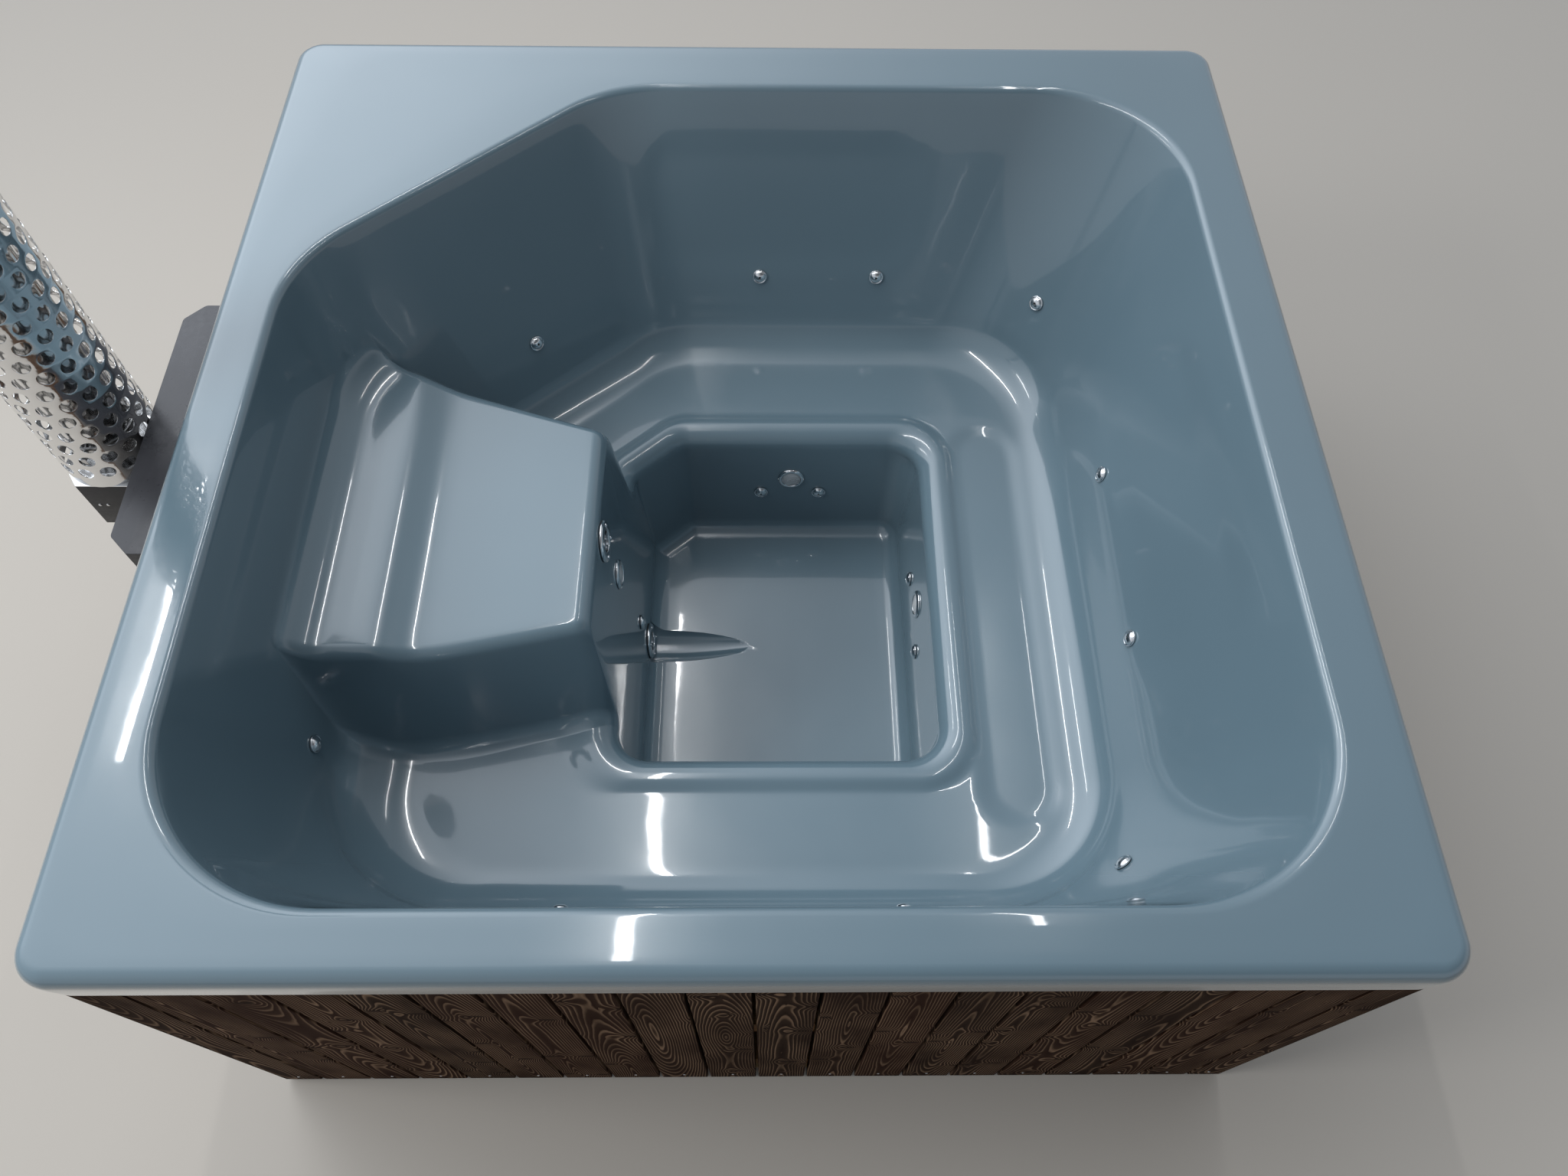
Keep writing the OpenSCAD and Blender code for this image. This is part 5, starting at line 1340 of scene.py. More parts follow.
    def outer_rows(self) -> Array:
        """The rim's outside: up the lip and round its upper edge, (r - r cos a, r - r sin a) in.

        Returns:
            Rows and columns of points, from the lip's foot to the rim's top.
        """
        a = np.linspace(0, math.pi / 2, 9)
        lip = np.linspace(self.lip_h, self.rim_edge + 8, len(self.lip_in))
        steps = np.concatenate([np.stack([self.lip_in, lip], 1),
                                np.stack([self.rim_edge * (1 - np.cos(a)),
                                          self.rim_edge * (1 - np.sin(a))], 1)])
        d = self.half - steps[:, 0]
        r = self.rim_corner - steps[:, 0]
        c = self.half - self.rim_corner
        cut = float(heading(self.angles[3]) @ np.array([-c, c]))
        ring = Ring(np.stack([d, d, d, cut + r - 1, d], 1), np.repeat(r[:, None], 5, 1),
                    np.repeat(self.rim_h - steps[:, 1:], 5, 1))
        return self.ring_points(ring, ring)

    def thicken(self, rows: Array, counts: Sequence[int], curved: Sequence[bool]) -> Array:
        """Fills in rows between rows.

        A curved gap follows a monotone cubic whose slope is the harmonic mean of its
        neighbours' slopes, so it doesn't overshoot; the rest is straight.

        Args:
            rows: Key rows of points.
            counts: Steps in each gap.
            curved: Which gaps are curved.

        Returns:
            All rows.
        """
        step = np.linalg.norm(np.diff(rows, axis=0), axis=2).mean(1)
        t = np.concatenate([[0.0], np.cumsum(step)])
        secant = np.diff(rows, axis=0) / step[:, None, None]
        a, b = secant[:-1], secant[1:]
        same = (a * b) > 0
        mean = np.where(same, 2 * a * b / np.where(same, a + b, 1.0), 0.0)
        slope = np.concatenate([secant[:1], mean, secant[-1:]])
        out = []
        for k, (n, bent) in enumerate(zip(counts, curved)):
            f = (np.arange(n) / n)[:, None, None]
            if bent:
                h = t[k + 1] - t[k]
                out.append((2 * f ** 3 - 3 * f ** 2 + 1) * rows[k]
                           + (f ** 3 - 2 * f ** 2 + f) * h * slope[k]
                           + (3 * f ** 2 - 2 * f ** 3) * rows[k + 1]
                           + (f ** 3 - f ** 2) * h * slope[k + 1])
            else:
                out.append(blend(rows[k], rows[k + 1], f))
        return np.concatenate([*out, rows[-1:]])

    def pressed(self, p: Array) -> Array:
        """Presses the dish of the right bench and the two back panels into the surface.

        Args:
            p: Points of the wet surface.

        Returns:
            The pressed points.
        """
        x, y, z = p[..., 0], p[..., 1], p[..., 2]
        low, high = self.bench_z - self.dish - self.level_band[0], self.bench_z + self.level_band[1]
        level = (z < high) & (z > low)
        wall = (z > self.bench_z + self.panel_band[0]) & (z < self.rim_h - self.panel_band[1])
        right = wall & (x > self.right_zone[0]) & (np.abs(y) < self.right_zone[1])
        far = wall & (y > self.far_zone[0]) & (np.abs(x) < self.far_zone[1])
        out = p.copy()
        out[..., 2] -= np.where(level, self.bench_dish.drop(x, y), 0.0)
        out[..., 0] += np.where(right, self.right_panel.drop(y, z), 0.0)
        out[..., 1] += np.where(far, self.far_panel.drop(x, z), 0.0)
        return out

    def wet_face(self) -> Array:
        """All rows of the wet face, from the lip over the rim, down the bowl and over the floor."""
        bench = self.bench_ring()
        seat = self.seat_ring(bench)
        keys = self.ring_points(bench, seat)
        foot, edge, well = self.marks
        n = len(keys)
        counts = [1] * (n - 1)
        curved = [False] * (n - 1)
        counts[self.roll_n:self.roll_n + 2] = self.wall_n
        counts[foot:edge] = [self.bench_n] * (edge - foot)
        curved[foot:edge] = [True] * (edge - foot)
        counts[well - 1:well + 1] = self.well_n
        inner = self.thicken(keys, counts, curved)
        outer = self.outer_rows()
        rim = blend(outer[-1:], inner[:1], np.linspace(0, 1, 5)[1:-1, None, None])
        return self.pressed(np.concatenate([outer, rim, inner, self.floor_rows(inner[-1])]))

    def floor_rows(self, edge: Array) -> Array:
        """Rows over the flat floor, whose points spread evenly round as they near the middle.

        Radius and angle about the middle both move from the edge's to a circle's, so no two
        spokes meet before the middle does.

        Args:
            edge: The ring at the foot of the footwell's radius.

        Returns:
            Nine rows, the last a small circle.
        """
        offset = edge[:, :2] - self.middle
        radius = np.linalg.norm(offset, axis=1)
        angle = np.unwrap(np.arctan2(offset[:, 1], offset[:, 0]))
        count = len(edge)
        even = angle.mean() + math.tau * ((np.arange(count) + 0.5) / count - 0.5)
        share = np.linspace(0.0, 1.0, 10)[1:, None]
        turn = ease(share * 1.15)
        out = blend(radius, radius.min(), ease(share * 1.2)) * (1 - 0.93 * share)
        spread = blend(angle, even, turn)
        flat = self.middle + out[..., None] * heading(spread)
        return np.concatenate([flat, np.full((*out.shape, 1), self.floor_z)], -1)

    def channel(self, more: float) -> Array:
        """The floor's channel: a turned spike along X whose radius falls as 1 - f^power.

        Args:
            more: How much larger the spike is all round, for the wall below the channel.

        Returns:
            Rows of points from the lower port's face to the spike's tip.
        """
        x0, y0, z0 = self.low_port
        f = np.linspace(0.0, 1.0, 26)
        low = z0 - self.floor_z
        fall = 1 - f ** self.channel_power
        r = (self.channel_r - low + self.channel_more) * fall + low - self.channel_clear + more
        start = -0.7 * more
        profile = np.concatenate([[[0.0, start], [r[0], start]],
                                  np.stack([r, self.channel_lead + f * (self.channel_l + more)], 1),
                                  [[0.0, self.channel_l + more + self.channel_tip]]])
        grid = turned(profile, 40)
        x, z = x0 + grid[..., 2], z0 + grid[..., 0]
        x = x - self.well_lean * (z - z0) * ease(1.2 - grid[..., 2] / self.channel_lean_l)
        return np.stack([x, y0 + grid[..., 1], z], -1)

    def plug(self, grid: Array, grow: float = 3.0, rise: float = 200.0) -> bpy.types.Mesh:
        """Fills the footwell, grown a little into its wall.

        Args:
            grid: The wet face.
            grow: How far the plug reaches into the wall.
            rise: Height over the floor of the point that all normals turn away from.

        Returns:
            A closed mesh.
        """
        rows = grid[grid[..., 2].max(1) < self.bench_z - self.edge_r]
        along = np.roll(rows, -1, 1) - np.roll(rows, 1, 1)
        normal = np.cross(np.gradient(rows, axis=0), along)
        normal /= np.linalg.norm(normal, axis=-1, keepdims=True)
        away = rows - np.array([*self.middle, self.floor_z + rise])
        normal *= np.sign((normal * away).sum(-1, keepdims=True))
        draft = Draft()
        draft.surface(rows + grow * normal, around=True, ends=True)
        return draft.mesh("plug", weld=0.0)

    def build(self) -> None:
        """Makes the shell: wet face, wall behind it, channel and bores."""
        draft = Draft()
        grid = self.wet_face()
        draft.surface(grid, around=True)
        k, m = np.arange(grid.shape[1]), (np.arange(grid.shape[1]) + 1) % grid.shape[1]
        last = (grid.shape[0] - 1) * grid.shape[1]
        draft.faces += np.stack([last + k, last + m, np.full_like(k, draft.count)], -1).tolist()
        draft.points.append(np.array([[*self.middle, self.floor_z]]))
        draft.count += 1
        wall = linked("shell_wall", draft.mesh("shell_wall", weld=0.0, outward=False))
        solid = wall.modifiers.new("wall", "SOLIDIFY")
        solid.thickness = self.wall * MM
        solid.offset = -1.0
        solid.use_even_offset = False
        result = applied(wall)
        below, groove = Draft(), Draft()
        below.surface(self.channel(self.wall), around=True)
        below_wall = carved(below.mesh("channel_wall"), self.plug(grid), Carve.CUT)
        result = carved(result, below_wall, Carve.JOIN)
        groove.surface(self.channel(0.0), around=True)
        result = carved(result, groove.mesh("groove"), Carve.CUT)
        result = carved(result, Fittings().bores(), Carve.CUT)
        smooth(result, 40.0)
        piece("tub_shell_skin", result, GELCOAT, ["shell"])


# Fittings in the shell

class Kind(Enum):
    """A kind of turned fitting: its CAD node, and how far it stands out of the wet face."""

    JET = ("jet_heads", 10.5)
    LIGHT = ("light_bezels", 6.5)
    PORT = ("port_flanges", 7.5)


@dataclass
class Fittings:
    """Jets, lights and water ports, each a point and a normal on the wet face.

    A profile's rows are a radius and a height over the wet face, in millimetres.
    """

    jet_r: float = 17.0
    stem_r: float = 11.0
    lens_r: float = 22.5
    bezel_r: float = 32.0
    port_r: float = 42.5
    bore_r: float = 22.0
    screw_ring: float = 32.2
    screw_angles: tuple[int, ...] = (45, 135, 225, 315)
    stem_l: float = 26.3
    tail_l: float = 60.0
    pip_angles: tuple[int, ...] = (0, 60, 120, 180, 240, 300)
    pip_ring: float = 9.3
    pip_drop: float = 1.9
    aim_rise: float = 90.0
    rod_half: float = 30.0
    stem_room: float = 0.3
    lens_room: float = 3.8
    port_room: float = 3.3
    screw_hole: float = 2.8
    ribs: int = 7
    rib_h: float = 0.3

    def seats(self, kind: Kind) -> list[tuple[Array, Array]]:
        """Finds where the turned parts of a CAD node sit.

        A turned part's second moments are equal across its axis, so the axis is the one
        direction whose moment differs from the other two. It points to the tub's middle,
        at a point a little above the part.

        Args:
            kind: The kind of fitting.

        Returns:
            Points on the wet face and unit normals.
        """
        node, proud = kind.value
        work = merged(node)
        bmesh.ops.triangulate(work, faces=work.faces)
        work.faces.index_update()
        seen, found = set(), []
        for first in work.faces:
            if first in seen:
                continue
            island, edge = set(), {first}
            while edge:
                island |= edge
                edge = {g for f in edge for e in f.edges for g in e.link_faces} - island
            seen |= island
            part = sorted(island, key=lambda face: face.index)
            spots = np.array([f.calc_center_median() for f in part]) / MM
            area = np.array([f.calc_area() for f in part])[:, None]
            corners = np.array([v.co for f in part for v in f.verts]) / MM
            heart = (spots * area).sum(0) / area.sum()
            moment, axes = np.linalg.eigh((spots - heart).T @ ((spots - heart) * area))
            axis = axes[:, 0 if moment[1] - moment[0] > moment[2] - moment[1] else 2]
            axis = axis if axis @ (np.array([0.0, 0.0, heart[2] + self.aim_rise]) - heart) > 0 else -axis
            found.append((heart + axis * (((corners - heart) @ axis).max() - proud), axis))
        work.free()
        return found

    def bores(self) -> bpy.types.Mesh:
        """Closed rods through the wall for every stem, housing, tail and screw."""
        draft = Draft()

        def rod(r: float, at: Array, n: Array, side: float = 0.0, angle: float = 0.0) -> None:
            """Adds one rod.

            Args:
                r: Its radius.
                at: The fitting's point on the wet face.
                n: The normal there.
                side: How far the rod stands off the fitting's axis.
                angle: In which direction, in degrees.
            """
            grid = turned([[0, -self.rod_half], [r, -self.rod_half], [r, self.rod_half],
                           [0, self.rod_half]], 32)
            draft.surface(seated(grid + polar(side, angle), at, n), around=True)

        for at, n in self.seats(Kind.JET):
            rod(self.stem_r + self.stem_room, at, n)
        for at, n in self.seats(Kind.LIGHT):
            rod(self.lens_r + self.lens_room, at, n)
        for at, n in self.seats(Kind.PORT):
            rod(self.bore_r + self.port_room, at, n)
            for angle in self.screw_angles:
                rod(self.screw_hole, at, n, self.screw_ring, angle)
        return draft.mesh("bores")

    def build(self) -> None:
        """Makes jet heads, bezels, lenses, flanges and screws."""
        r = self.jet_r
        collar = rounded([[self.stem_r, -self.stem_l], [self.stem_r, 1.5], [r, 1.5], [r, 4.4],
                          [r - 1.6, 5.2], [r - 2.6, 4.2]], 0.6, 3)
        a = np.linspace(math.radians(14), math.radians(78), 10)
        dome = np.stack([(r - 3.2) * np.cos(a), 3.6 + 6.9 * np.sin(a)], 1)
        nose = np.array([[2.6, 10.2], [2.3, 9.4], [2.3, 2.0], [self.stem_r - 4, 0.0],
                         [self.stem_r - 4, -self.stem_l], [self.stem_r, -self.stem_l]])
        jet = turned(np.concatenate([collar, dome, nose]), 44)
        pip = turned([[0.0, 8.7], [1.1, 8.9], [1.3, 9.6], [0.9, 10.05], [0.0, 10.1]], 12)
        heads = Draft()
        for at, n in self.seats(Kind.JET):
            heads.surface(seated(jet, at, n), around=True)
            for angle in self.pip_angles:
                spot = polar(self.pip_ring, angle, -self.pip_drop)
                heads.surface(seated(pip + spot, at, n), around=True)
        heads.place("jet_faces", CHROME, ["jet_heads"])
        self.build_lights()
        self.build_ports()

    def build_lights(self) -> None:
        """A bezel with a rolled profile, and a domed lens whose ribs add a cosine of its radius."""
        inner, outer = self.lens_r + 0.3, self.bezel_r
        profile = rounded([[inner, 0.3], [outer, 0.3], [outer, 2.6], [outer - 3, 5.6],
                           [inner + 3, 6.5], [inner + 1, 6.0], [inner, 4.6], [inner, 0.3]], 1.0, 3)
        bezels, lenses = Draft(), Draft()
        bezel = turned(profile, 72)
        rad = np.linspace(0.0, self.lens_r, 40)
        out = rad / self.lens_r
        top = 8.0 - 4.0 * out ** 2 + self.rib_h * np.cos(out * 2 * math.pi * self.ribs)
        shape = np.concatenate([[[0.0, -4.7], [self.lens_r - 1, -4.7], [self.lens_r - 1, 0.0],
                                 [self.lens_r, 0.3]], np.stack([rad, top], 1)[::-1]])
        lens = turned(shape, 72)
        for at, n in self.seats(Kind.LIGHT):
            bezels.surface(seated(bezel, at, n), around=True)
            lenses.surface(seated(lens, at, n), around=True)
        bezels.place("light_rims", CHROME, ["light_bezels"])
        lenses.place("light_glasses", LENS, ["light_lenses"], crease=60)

    def build_ports(self) -> None:
        """A turned flange with its tail, and pan-head screws with a recess and a shank."""
        r, b = self.port_r, self.bore_r
        tail, end = b + 3, -self.tail_l
        profile = rounded([[tail, end], [tail, 1.5], [r, 1.5], [r, 3.6], [r - 2.6, 6.6],
                           [r - 7.5, 7.5], [b + 4.6, 7.5], [b + 3.2, 6.7], [b + 2.0, 7.2],
                           [b, 6.2], [b, end], [tail, end]], 0.9, 3)
        flange = turned(profile, 80)
        screw = turned(rounded([[0, 7.5], [4.2, 7.5], [4.2, 8.3], [2.8, 9.6], [1.4, 9.9], [1.2, 8.9],
                                [0, 8.7]], 0.4, 3), 20)
        shank = turned([[0, -18.3], [2.5, -18.3], [2.5, 7.5], [0, 7.5]], 12)
        flanges, screws = Draft(), Draft()
        for at, n in self.seats(Kind.PORT):
            flanges.surface(seated(flange, at, n), around=True)
            for angle in self.screw_angles:
                spot = polar(self.screw_ring, angle)
                for part in (screw, shank):
                    screws.surface(seated(part + spot, at, n), around=True)
        flanges.place("port_faces", CHROME, ["port_flanges"])
        screws.place("port_face_screws", CHROME, ["port_screws"])


# Cladding

class Side(Enum):
    """A side of the tub, with the turn that carries the front boards to it."""

    FRONT = ("front", 0.0)
    BACK = ("back", math.pi)
    RIGHT = ("right", math.pi / 2)
    LEFT = ("left", -math.pi / 2)


@dataclass
class Cladding:
    """Upright boards on four sides, each with eased edges and its own grain, and their nails."""

    out: float = 985.0
    thick: float = 20.0
    width: float = 95.0
    gap: float = 6.0
    foot: float = 12.0
    top: float = 1020.0
    seam: float = 4.0
    stove_y: tuple[float, float] = (-161.0, 195.0)
    stove_top: float = 747.0
    corner_x: float = 940.0
    corner_top: float = 950.0
    corner_room: float = 0.3
    edge_r: float = 2.6
    end_edge: float = 1.2
    front_n: int = 7
    front_room: float = 6.0
    row_n: int = 12
    row_room: float = 40.0
    grain_in: float = 0.4
    nail_r: float = 3.0
    nail_sink: float = 0.3
    nail_h: float = 1.2
    nail_z: tuple[float, float] = (47.0, 977.0)
    left_nail_y: float = 269.0

    def spans(self, end: float) -> list[tuple[float, float]]:
        """Lays board after board between -end and end, with an open joint at the seam.

        Args:
            end: Half the length of the side.

        Returns:
            Start and end of each board.
        """
        pitch = self.width + self.gap
        k = np.arange(-11, 11)
        start = self.seam + self.gap / 2 + k * pitch
        low, high = np.maximum(-end, start), np.minimum(end, start + self.width)
        keep = high - low > 3 * self.gap
        return list(zip(low[keep].tolist(), high[keep].tolist()))

    def board(self, x0: float, x1: float, low: float, high: float, seed: float,
              turn: float) -> tuple[Array, Array]:
        """One board: its rounded section carried up its length.

        Args:
            x0: Start along the side.
            x1: End along the side.
            low: Height of its foot.
            high: Height of its top.
            seed: Number that sets its own grain.
            turn: Turn of the side about Z, in radians.

        Returns:
            The grid of points, and the grain coordinates of each.
        """
        front, back = -self.out, -self.out + self.thick
        section = rounded([[x0, back], [x0, front], [x1, front], [x1, back]], self.edge_r, 3, True)
        n = self.front_n
        wide = np.linspace(x0 + self.front_room, x1 - self.front_room, n)
        i = int(np.argmax(section[:, 0] > (x0 + x1) / 2))
        section = np.insert(section, [i] * n, np.stack([wide, np.full(n, front)], 1), axis=0)
        z = np.concatenate([[low, low + self.end_edge],
                            np.linspace(low + self.row_room, high - self.row_room, self.row_n),
                            [high - self.end_edge, high]])
        inset = np.array([self.end_edge] + [0.0] * (len(z) - 2) + [self.end_edge])
        mid = np.array([(x0 + x1) / 2, (front + back) / 2])
        size = np.array([(x1 - x0) / 2, self.thick / 2])
        flat = mid + (section - mid)[None] * (1 - inset[:, None, None] / size)
        grid = np.concatenate([flat, np.repeat(z[:, None, None], len(section), 1)], -1)
        grain = np.stack([(grid[..., 0] - mid[0]) * MM, grid[..., 2] * MM + seed,
                          np.full(grid.shape[:2], seed) + (grid[..., 1] - front) * self.grain_in * MM],
                         -1)
        return spun(grid, turn), grain

    def build(self) -> None:
        """Makes the four sides and the nail heads."""
        rng = np.random.default_rng(7)
        nails = Draft()
        a = np.linspace(0, math.pi / 2, 4)
        dome = np.stack([self.nail_r * np.cos(a), self.nail_h * np.sin(a)], 1)
        head = turned(np.concatenate([[[0.0, -self.nail_sink], [self.nail_r, -self.nail_sink]], dome]), 12)
        for side in Side:
            name, turn = side.value
            long = side in (Side.FRONT, Side.BACK)
            draft = Draft()
            for x0, x1 in self.spans(self.out - (0.0 if long else self.thick + self.corner_room)):
                over = side is Side.LEFT and -x0 > self.stove_y[0] and -x1 < self.stove_y[1]
                low = self.stove_top if over else self.foot
                high = self.corner_top if max(abs(x0), abs(x1)) > self.corner_x else self.top
                grid, grain = self.board(x0, x1, low, high, float(rng.uniform(0, 60)), turn)
                draft.surface(grid, around=True, ends=True, grain=grain)
                if side is Side.LEFT and (over or x0 <= self.left_nail_y):
                    continue
                for z in self.nail_z[:1 if side is Side.LEFT else 2]:
                    spot = spun(np.array([(x0 + x1) / 2, -self.out, z]), turn)
                    nails.surface(seated(head, spot, (math.sin(turn), -math.cos(turn), 0.0)),
                                  around=True)
            draft.place("cladding_" + name, BOARD, ["boards_" + name], crease=50)
        nails.place("nail_heads", STEEL, ["board_nails"])


# Stove, flue and guard

@dataclass
class Flue:
    """The flue pipe with the flange at its foot, its perforated guard and the rain cap."""

    x: float = -1204.5
    y: float = 17.0
    low: float = 872.0
    pipe_r: float = 65.0
    guard_r: float = 94.0
    sheet: float = 1.5
    guard_h: float = 970.0
    holes: int = 15
    hole_r: float = 13.5
    hole_edge: float = 0.25
    near_hole: float = 0.85
    row: float = 35.5
    first: float = 41.0
    rows: int = 26
    turn: float = -71.5
    top: float = 2260.0
    seam_at: float = 108.0
    seam_half: float = 8.0
    seam_h: float = 1.0
    strap_angles: tuple[int, ...] = (90, 210, 330)

    def settle(self, grid: Array, z: float = 0.0) -> Array:
        """Moves a grid from the flue's axis to its place."""
        return grid + np.array([self.x, self.y, z])

    def round_tube(self, angle: Array, z: Array, r: float) -> Array:
        """Finds points on a tube whose lap seam stands a little proud.

        Args:
            angle: Angles in radians.
            z: Heights.
            r: The tube's radius.

        Returns:
            The point at each angle and height.
        """
        seam = np.abs((np.degrees(angle) - self.turn - self.seam_at + 180) % 360 - 180)
        r = r + self.seam_h * ease((self.seam_half - seam) / 2.0)
        return np.stack([r * np.cos(angle), r * np.sin(angle), z], -1)

    def guard(self) -> Draft:
        """The guard: each hole is a cell whose square outline is drawn in to a circle.

        The outline has eight steps across and four up, so that the rows, turned by half a
        cell from one to the next, share their points.

        Returns:
            The draft of the whole perforated tube.
        """
        step = 2 * math.pi / self.holes
        u = np.concatenate([np.linspace(0.5, -0.5, 9)[:-1], np.full(4, -0.5),
                            np.linspace(-0.5, 0.5, 9)[:-1], np.full(4, 0.5)])
        v = np.concatenate([np.full(8, 0.5), np.linspace(0.5, -0.5, 5)[:-1], np.full(8, -0.5),
                            np.linspace(-0.5, 0.5, 5)[:-1]])
        around = np.arctan2(v * self.row, u * step * self.guard_r)
        hu = self.hole_r * np.cos(around) / (step * self.guard_r)
        hv = self.hole_r * np.sin(around) / self.row
        k = np.arange(self.rows)[:, None, None]
        i = np.arange(self.holes)[None, :, None]
        base = math.radians(self.turn) + step * (i + (k % 2) / 2)
        z0 = self.first + k * self.row
        outer, inner = self.guard_r, self.guard_r - self.sheet
        near = blend(u, hu, self.near_hole), blend(v, hv, self.near_hole)
        rings = []
        for cu, cv, r in ((u, v, outer), (*near, outer), (hu, hv, outer - self.hole_edge),
                          (hu, hv, inner + self.hole_edge), (*near, inner), (u, v, inner)):
            rings.append(self.round_tube(base + cu * step, z0 + cv * self.row + 0 * base, r))
        cells = np.stack(rings, 2).reshape(-1, len(rings), len(u), 3)
        draft = Draft()
        for cell in cells:
            draft.surface(self.settle(cell, self.low), around=True)
        n = self.holes * 8
        for edge, end, k_row in ((self.first - self.row / 2, 0.0, 0),
                                 (self.first + (self.rows - 0.5) * self.row, self.guard_h,
                                  self.rows - 1)):
            a = math.radians(self.turn) + step * ((k_row % 2) / 2) + np.arange(n) * step / 8
            band = np.stack([self.round_tube(a, np.full(n, edge), outer),
                             self.round_tube(a, np.full(n, end), outer),
                             self.round_tube(a, np.full(n, end), inner),
                             self.round_tube(a, np.full(n, edge), inner)])
            draft.surface(self.settle(band, self.low), around=True)
        return draft

    def build(self) -> None:
        """Makes the guard, the pipe and the cap."""
        self.guard().place("flue_guard_sheet", MIRROR, ["flue_guard"], weld=0.05, crease=30)
        r = self.pipe_r
        profile = rounded([[r - 1.5, -20], [r, -20], [r, 0], [r + 15, 0], [r + 15, 2.4],
                           [r + 14, 3], [r + 1.5, 3], [r, 4.5]], 0.6, 3)
        up = np.stack([np.full(40, r), np.linspace(10, self.top - self.low - 1, 40)], 1)
        inside = np.array([[r - 0.4, self.top - self.low], [r - 1.1, self.top - self.low],
                           [r - 1.5, self.top - self.low - 1], [r - 1.5, -20]])
        pipe = Draft()
        pipe.surface(self.settle(turned(np.concatenate([profile, up, inside]), 80), self.low),
                     around=True)
        pipe.place("flue_tube", MIRROR, ["flue_pipe"])
        self.build_cap()

    def build_cap(self) -> None:
        """A spun cone with a rolled rim on three straps and a collar."""
        cap = Draft()
        cone = rounded([[0, 97], [6, 96.5], [123, 55.8], [125, 54], [125, 48], [123.8, 47],
                        [123.2, 52], [6, 94.2], [0, 95]], 2.0, 3)
        cap.surface(self.settle(turned(cone, 96), self.top), around=True)
        r = self.pipe_r + 0.1
        collar = rounded([[r, -25], [r + 1.5, -25], [r + 1.5, 0], [r, 0], [r, -25]], 0.4, 2)
        cap.surface(self.settle(turned(collar, 80), self.top), around=True)
        strap = prism(box_outline(r + 0.5, r + 2.5, -9, 9, 0.6), -24, 74.5, 0.5, 2)
        for angle in self.strap_angles:
            cap.surface(self.settle(spun(strap, math.radians(angle)), self.top), around=True,
                        ends=True)
        cap.place("rain_cap_spun", MIRROR, ["rain_cap"])


@dataclass
class Stove:
    """The stove's fire end: casing, top plate, smoke box, door and drawer fittings."""

    face_x: float = -1109.0
    y: float = 17.0
    half_w: float = 286.0
    cut: float = 36.0
    corner_r: float = 5.0
    plate_z: tuple[float, float] = (945.0, 948.0)
    plate_edge: float = 0.8
    box_x: float = -1287.0
    box_half: float = 92.0
    boards_x: float = -985.0
    rivet_x: tuple[float, float] = (49.0, 64.0)
    rivet_z: float = 811.0
    rivet_r: float = 3.5
    rivet_h: float = 2.0
    knob_x: float = -1115.3
    knob_z: float = 192.0
    knob_r: float = 13.0

    def cabinet(self) -> Array:
        """The casing's plan outline, its outer corners cut."""
        h, y, c = self.half_w, self.y, self.cut
        p = [[self.boards_x, y + h], [self.face_x + c, y + h], [self.face_x, y + h - c],
             [self.face_x, y - h + c], [self.face_x + c, y - h], [self.boards_x, y - h]]
        return rounded(p, self.corner_r, 3, True)

    def build(self) -> None:
        """Makes the plate, rivets and knob, and eases the sheet and cast parts."""
        plate = Draft()
        plate.surface(prism(self.cabinet(), *self.plate_z, self.plate_edge), around=True, ends=True)
        plate.place("stove_top_sheet", TOP_PLATE, ["stove_plate"])
        eased = (("stove_front", 0.9, CASING, "tub"), ("smoke_box", 0.9, CASING, "tub"),
                 ("smoke_box_plate", 0.5, MIRROR, "tub"), ("fire_door", 1.1, CASING, "fire_door_leaf"),
                 ("hinge_brackets", 0.7, CASING, "tub"), ("latch_keeper", 0.7, CASING, "tub"),
                 ("door_latch", 1.2, HANDLE, "latch"), ("slide_guides", 0.5, CASING, "fire_door_leaf"),
                 ("air_slide", 0.5, SLIDE, "air_shutter"), ("ash_drawer", 0.6, CASING, "ash_box"),
                 ("hinge_pins", 0.6, STEEL, "tub"), ("guard_spacers", 0.3, STEEL, "tub"),
                 ("drain_valve", 0.8, BRASS, "tub"), ("drain_lever", 0.9, LEVER, "valve_lever"))
        for node, width, finish, body in eased:
            piece(node + "_eased", eased_copy(node, width), finish, [node], body)
        rivets = Draft()
        a = np.linspace(0, math.pi / 2, 5)
        dome = np.stack([self.rivet_r * np.cos(a), self.rivet_h * np.sin(a)], 1)
        head = turned(np.concatenate([[[0.0, 0.0]], dome]), 20)
        for x in self.rivet_x:
            spot = (self.box_x + x, self.y - self.box_half, self.rivet_z)
            rivets.surface(seated(head, spot, (0, -1, 0)), around=True)
        rivets.place("smoke_box_rivets", STEEL, ["front_rivets"])
        knob = Draft()
        shape = rounded([[0, 0], [8, 0], [6.5, 5], [6, 13], [12, 19], [13.5, 24], [11, 30], [0, 31]],
                        2.2, 5)
        shape[:, 0] = np.minimum(shape[:, 0], self.knob_r)
        spot = (self.knob_x, self.y, self.knob_z)
        knob.surface(seated(turned(shape, 44), spot, (-1, 0, 0)), around=True)
        knob.place("ash_drawer_knob", HANDLE, ["ash_knob"], "ash_box")


# Studio

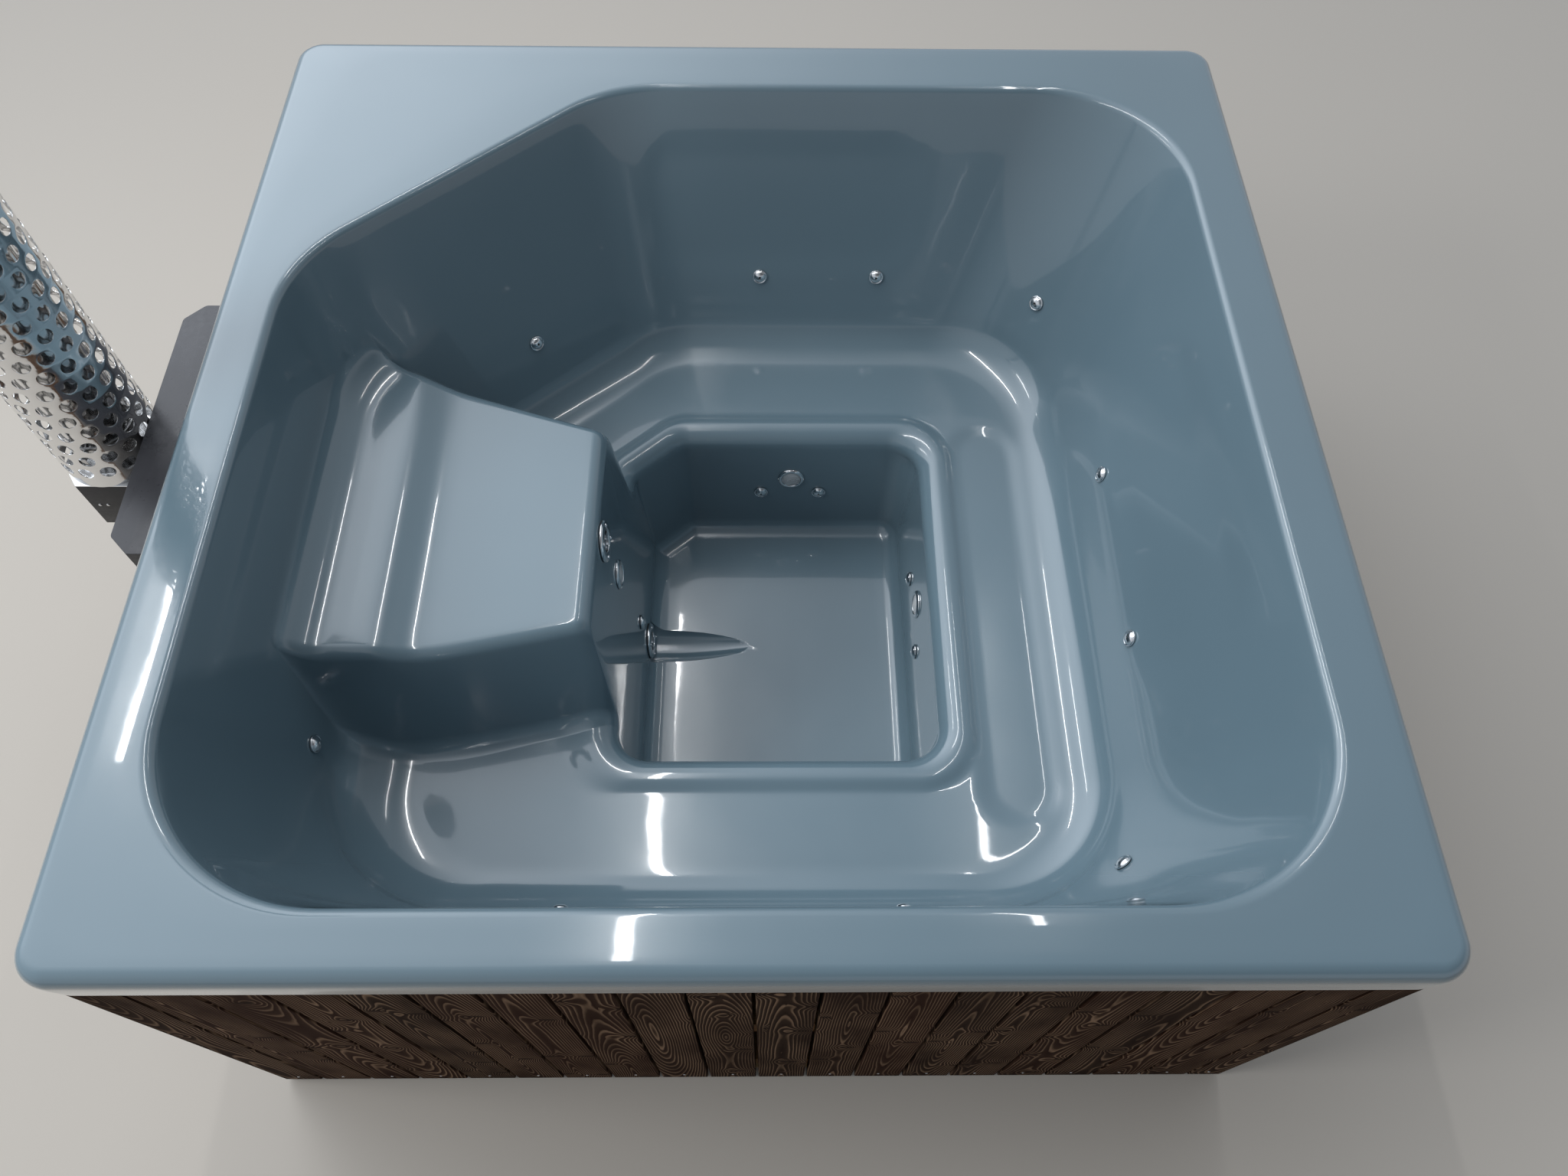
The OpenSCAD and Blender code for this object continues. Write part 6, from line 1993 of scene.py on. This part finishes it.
@dataclass
class Studio:
    """Plain pale floor, soft lamps and the photograph's camera."""

    floor: tuple[float, float, float] = (0.47, 0.438, 0.394)
    floor_half: float = 12000.0
    ceiling_across: tuple[float, float, float, float] = (-0.5, 0.27, 2.15, 0.42)
    ceiling_along: tuple[float, float, float, float] = (-0.4, 0.75, 0.32, 1.45)
    ceiling_rise: tuple[float, float] = (0.2, 0.5)
    wall_level: float = 0.11
    pale: float = 0.62
    sky: tuple[float, float, float] = (0.83, 0.88, 0.95)
    strip_z: float = 4.54
    soft_aim: tuple[float, float, float] = (0.1, 0.0, 0.5)
    soft_size: tuple[float, float] = (1.7, 1.7)
    lens: float = 26.66
    sensor: float = 36.0
    camera_at: tuple[float, float, float] = (0.02355, -1.32222, 2.650526)
    camera_turn: tuple[float, float, float] = (30.1, -0.749, -0.393)

    def lamp(self, name: str, at: Sequence[float], aim: Sequence[float], size: tuple[float, float],
             power: float) -> bpy.types.Object:
        """Hangs one area lamp.

        Args:
            name: Name of the lamp.
            at: Where it hangs, in metres.
            aim: The point that it faces.
            size: Its width and length.
            power: Its power in watts.

        Returns:
            The lamp.
        """
        data = bpy.data.lights.new(name, "AREA")
        data.shape = "RECTANGLE"
        data.size, data.size_y = size
        data.energy = power
        hung = linked(name, data)
        hung.location = at
        away = np.asarray(at, float) - np.asarray(aim, float)
        yaw = math.atan2(away[0], -away[1]) if abs(away[0]) + abs(away[1]) > 1e-6 else 0.0
        hung.rotation_euler = (math.atan2(math.hypot(away[0], away[1]), away[2]), 0.0, yaw)
        return hung

    def air(self, tree: bpy.types.NodeTree) -> None:
        """Makes the room's air: a pale ceiling that is brighter over the left side.

        Args:
            tree: The world's node tree.
        """
        add, link = tree.nodes.new, tree.links.new
        parts = add("ShaderNodeSeparateXYZ")
        link(add("ShaderNodeTexCoord").outputs["Generated"], parts.inputs[0])

        def slope(axis: str, numbers: tuple[float, float, float, float]) -> Any:
            """Makes a soft step along one axis of the direction.

            Args:
                axis: The axis.
                numbers: Where the step starts and ends, and the value at each.

            Returns:
                The step's value.
            """
            node = add("ShaderNodeMapRange")
            node.interpolation_type = "SMOOTHSTEP"
            link(parts.outputs[axis], node.inputs["Value"])
            for slot, value in zip(("From Min", "From Max", "To Min", "To Max"), numbers):
                node.inputs[slot].default_value = value
            return node.outputs["Result"]

        ceiling = add("ShaderNodeMath")
        ceiling.operation = "MULTIPLY"
        link(slope("X", self.ceiling_across), ceiling.inputs[0])
        link(slope("Y", self.ceiling_along), ceiling.inputs[1])
        rays = add("ShaderNodeLightPath").outputs

        def mixed(share: Any, a: Any, b: Any) -> Any:
            """Mixes two numbers.

            Args:
                share: Share of the second number.
                a: The first number, or a socket.
                b: The second number, or a socket.

            Returns:
                The mixed number.
            """
            node = add("ShaderNodeMix")
            link(share, node.inputs["Factor"])
            for k, value in ((2, a), (3, b)):
                if isinstance(value, float):
                    node.inputs[k].default_value = value
                else:
                    link(value, node.inputs[k])
            return node.outputs[0]

        wall = mixed(rays["Is Glossy Ray"], self.wall_level, self.pale)
        level = mixed(slope("Z", (*self.ceiling_rise, 0.0, 1.0)), wall, ceiling.outputs[0])
        level = mixed(rays["Is Transmission Ray"], level, self.pale)
        level = mixed(rays["Is Camera Ray"], level, self.pale)
        ground = tree.nodes["Background"]
        ground.inputs[0].default_value = (*self.sky, 1)
        link(level, ground.inputs[1])

    def build(self) -> None:
        """Lays the floor, hangs the lamps and sets the camera and the world."""
        draft = Draft()
        marks = np.linspace(-self.floor_half, self.floor_half, 13)
        across, along = np.meshgrid(marks, marks)
        draft.surface(np.stack([across, along, np.zeros_like(across)], -1))
        mesh = draft.mesh("studio_floor", outward=False)
        mesh.materials.append(Ground("studio_floor", "gelcoat", self.floor, 0.7).material())
        linked("studio_floor", mesh)
        for name, x, y, size, power in (("strip_middle", -0.59, 1.0, (0.06, 2.9), 24),
                                        ("strip_left", -2.96, 1.5, (0.09, 1.6), 16),
                                        ("strip_right", 1.23, 1.1, (0.04, 2.2), 9)):
            self.lamp(name, (x, y, self.strip_z), (x, y, 0), size, power)
        for name, at, power in (("soft_left", (-4.1, -1.3, 4.0), 121),
                                ("soft_far", (-2.4, 2.0, 5.0), 14)):
            hung = self.lamp(name, at, self.soft_aim, self.soft_size, power)
            hung.visible_glossy = False
        world = bpy.data.worlds.new("studio_air")
        world.use_nodes = True
        self.air(world.node_tree)
        bpy.context.scene.world = world
        data = bpy.data.cameras.new("photo_camera")
        data.lens, data.sensor_width = self.lens, self.sensor
        camera = linked("photo_camera", data)
        camera.location = self.camera_at
        camera.rotation_euler = tuple(math.radians(a) for a in self.camera_turn)
        bpy.context.scene.camera = camera
        bpy.context.scene.view_settings.view_transform = "Standard"


def dress_plain_nodes() -> None:
    """Gives every CAD node that stays its own finish."""
    for name, finish in PLAIN_NODES.items():
        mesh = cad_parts[name].data
        mesh.materials.clear()
        mesh.materials.append(finish.material())


def main() -> None:
    """Builds every sub-assembly in order."""
    logging.basicConfig(level=logging.INFO, format="%(name)s %(message)s")
    Studio().build()
    dress_plain_nodes()
    TubShell().build()
    Fittings().build()
    Cladding().build()
    Flue().build()
    Stove().build()


if __name__ == "__main__":
    main()
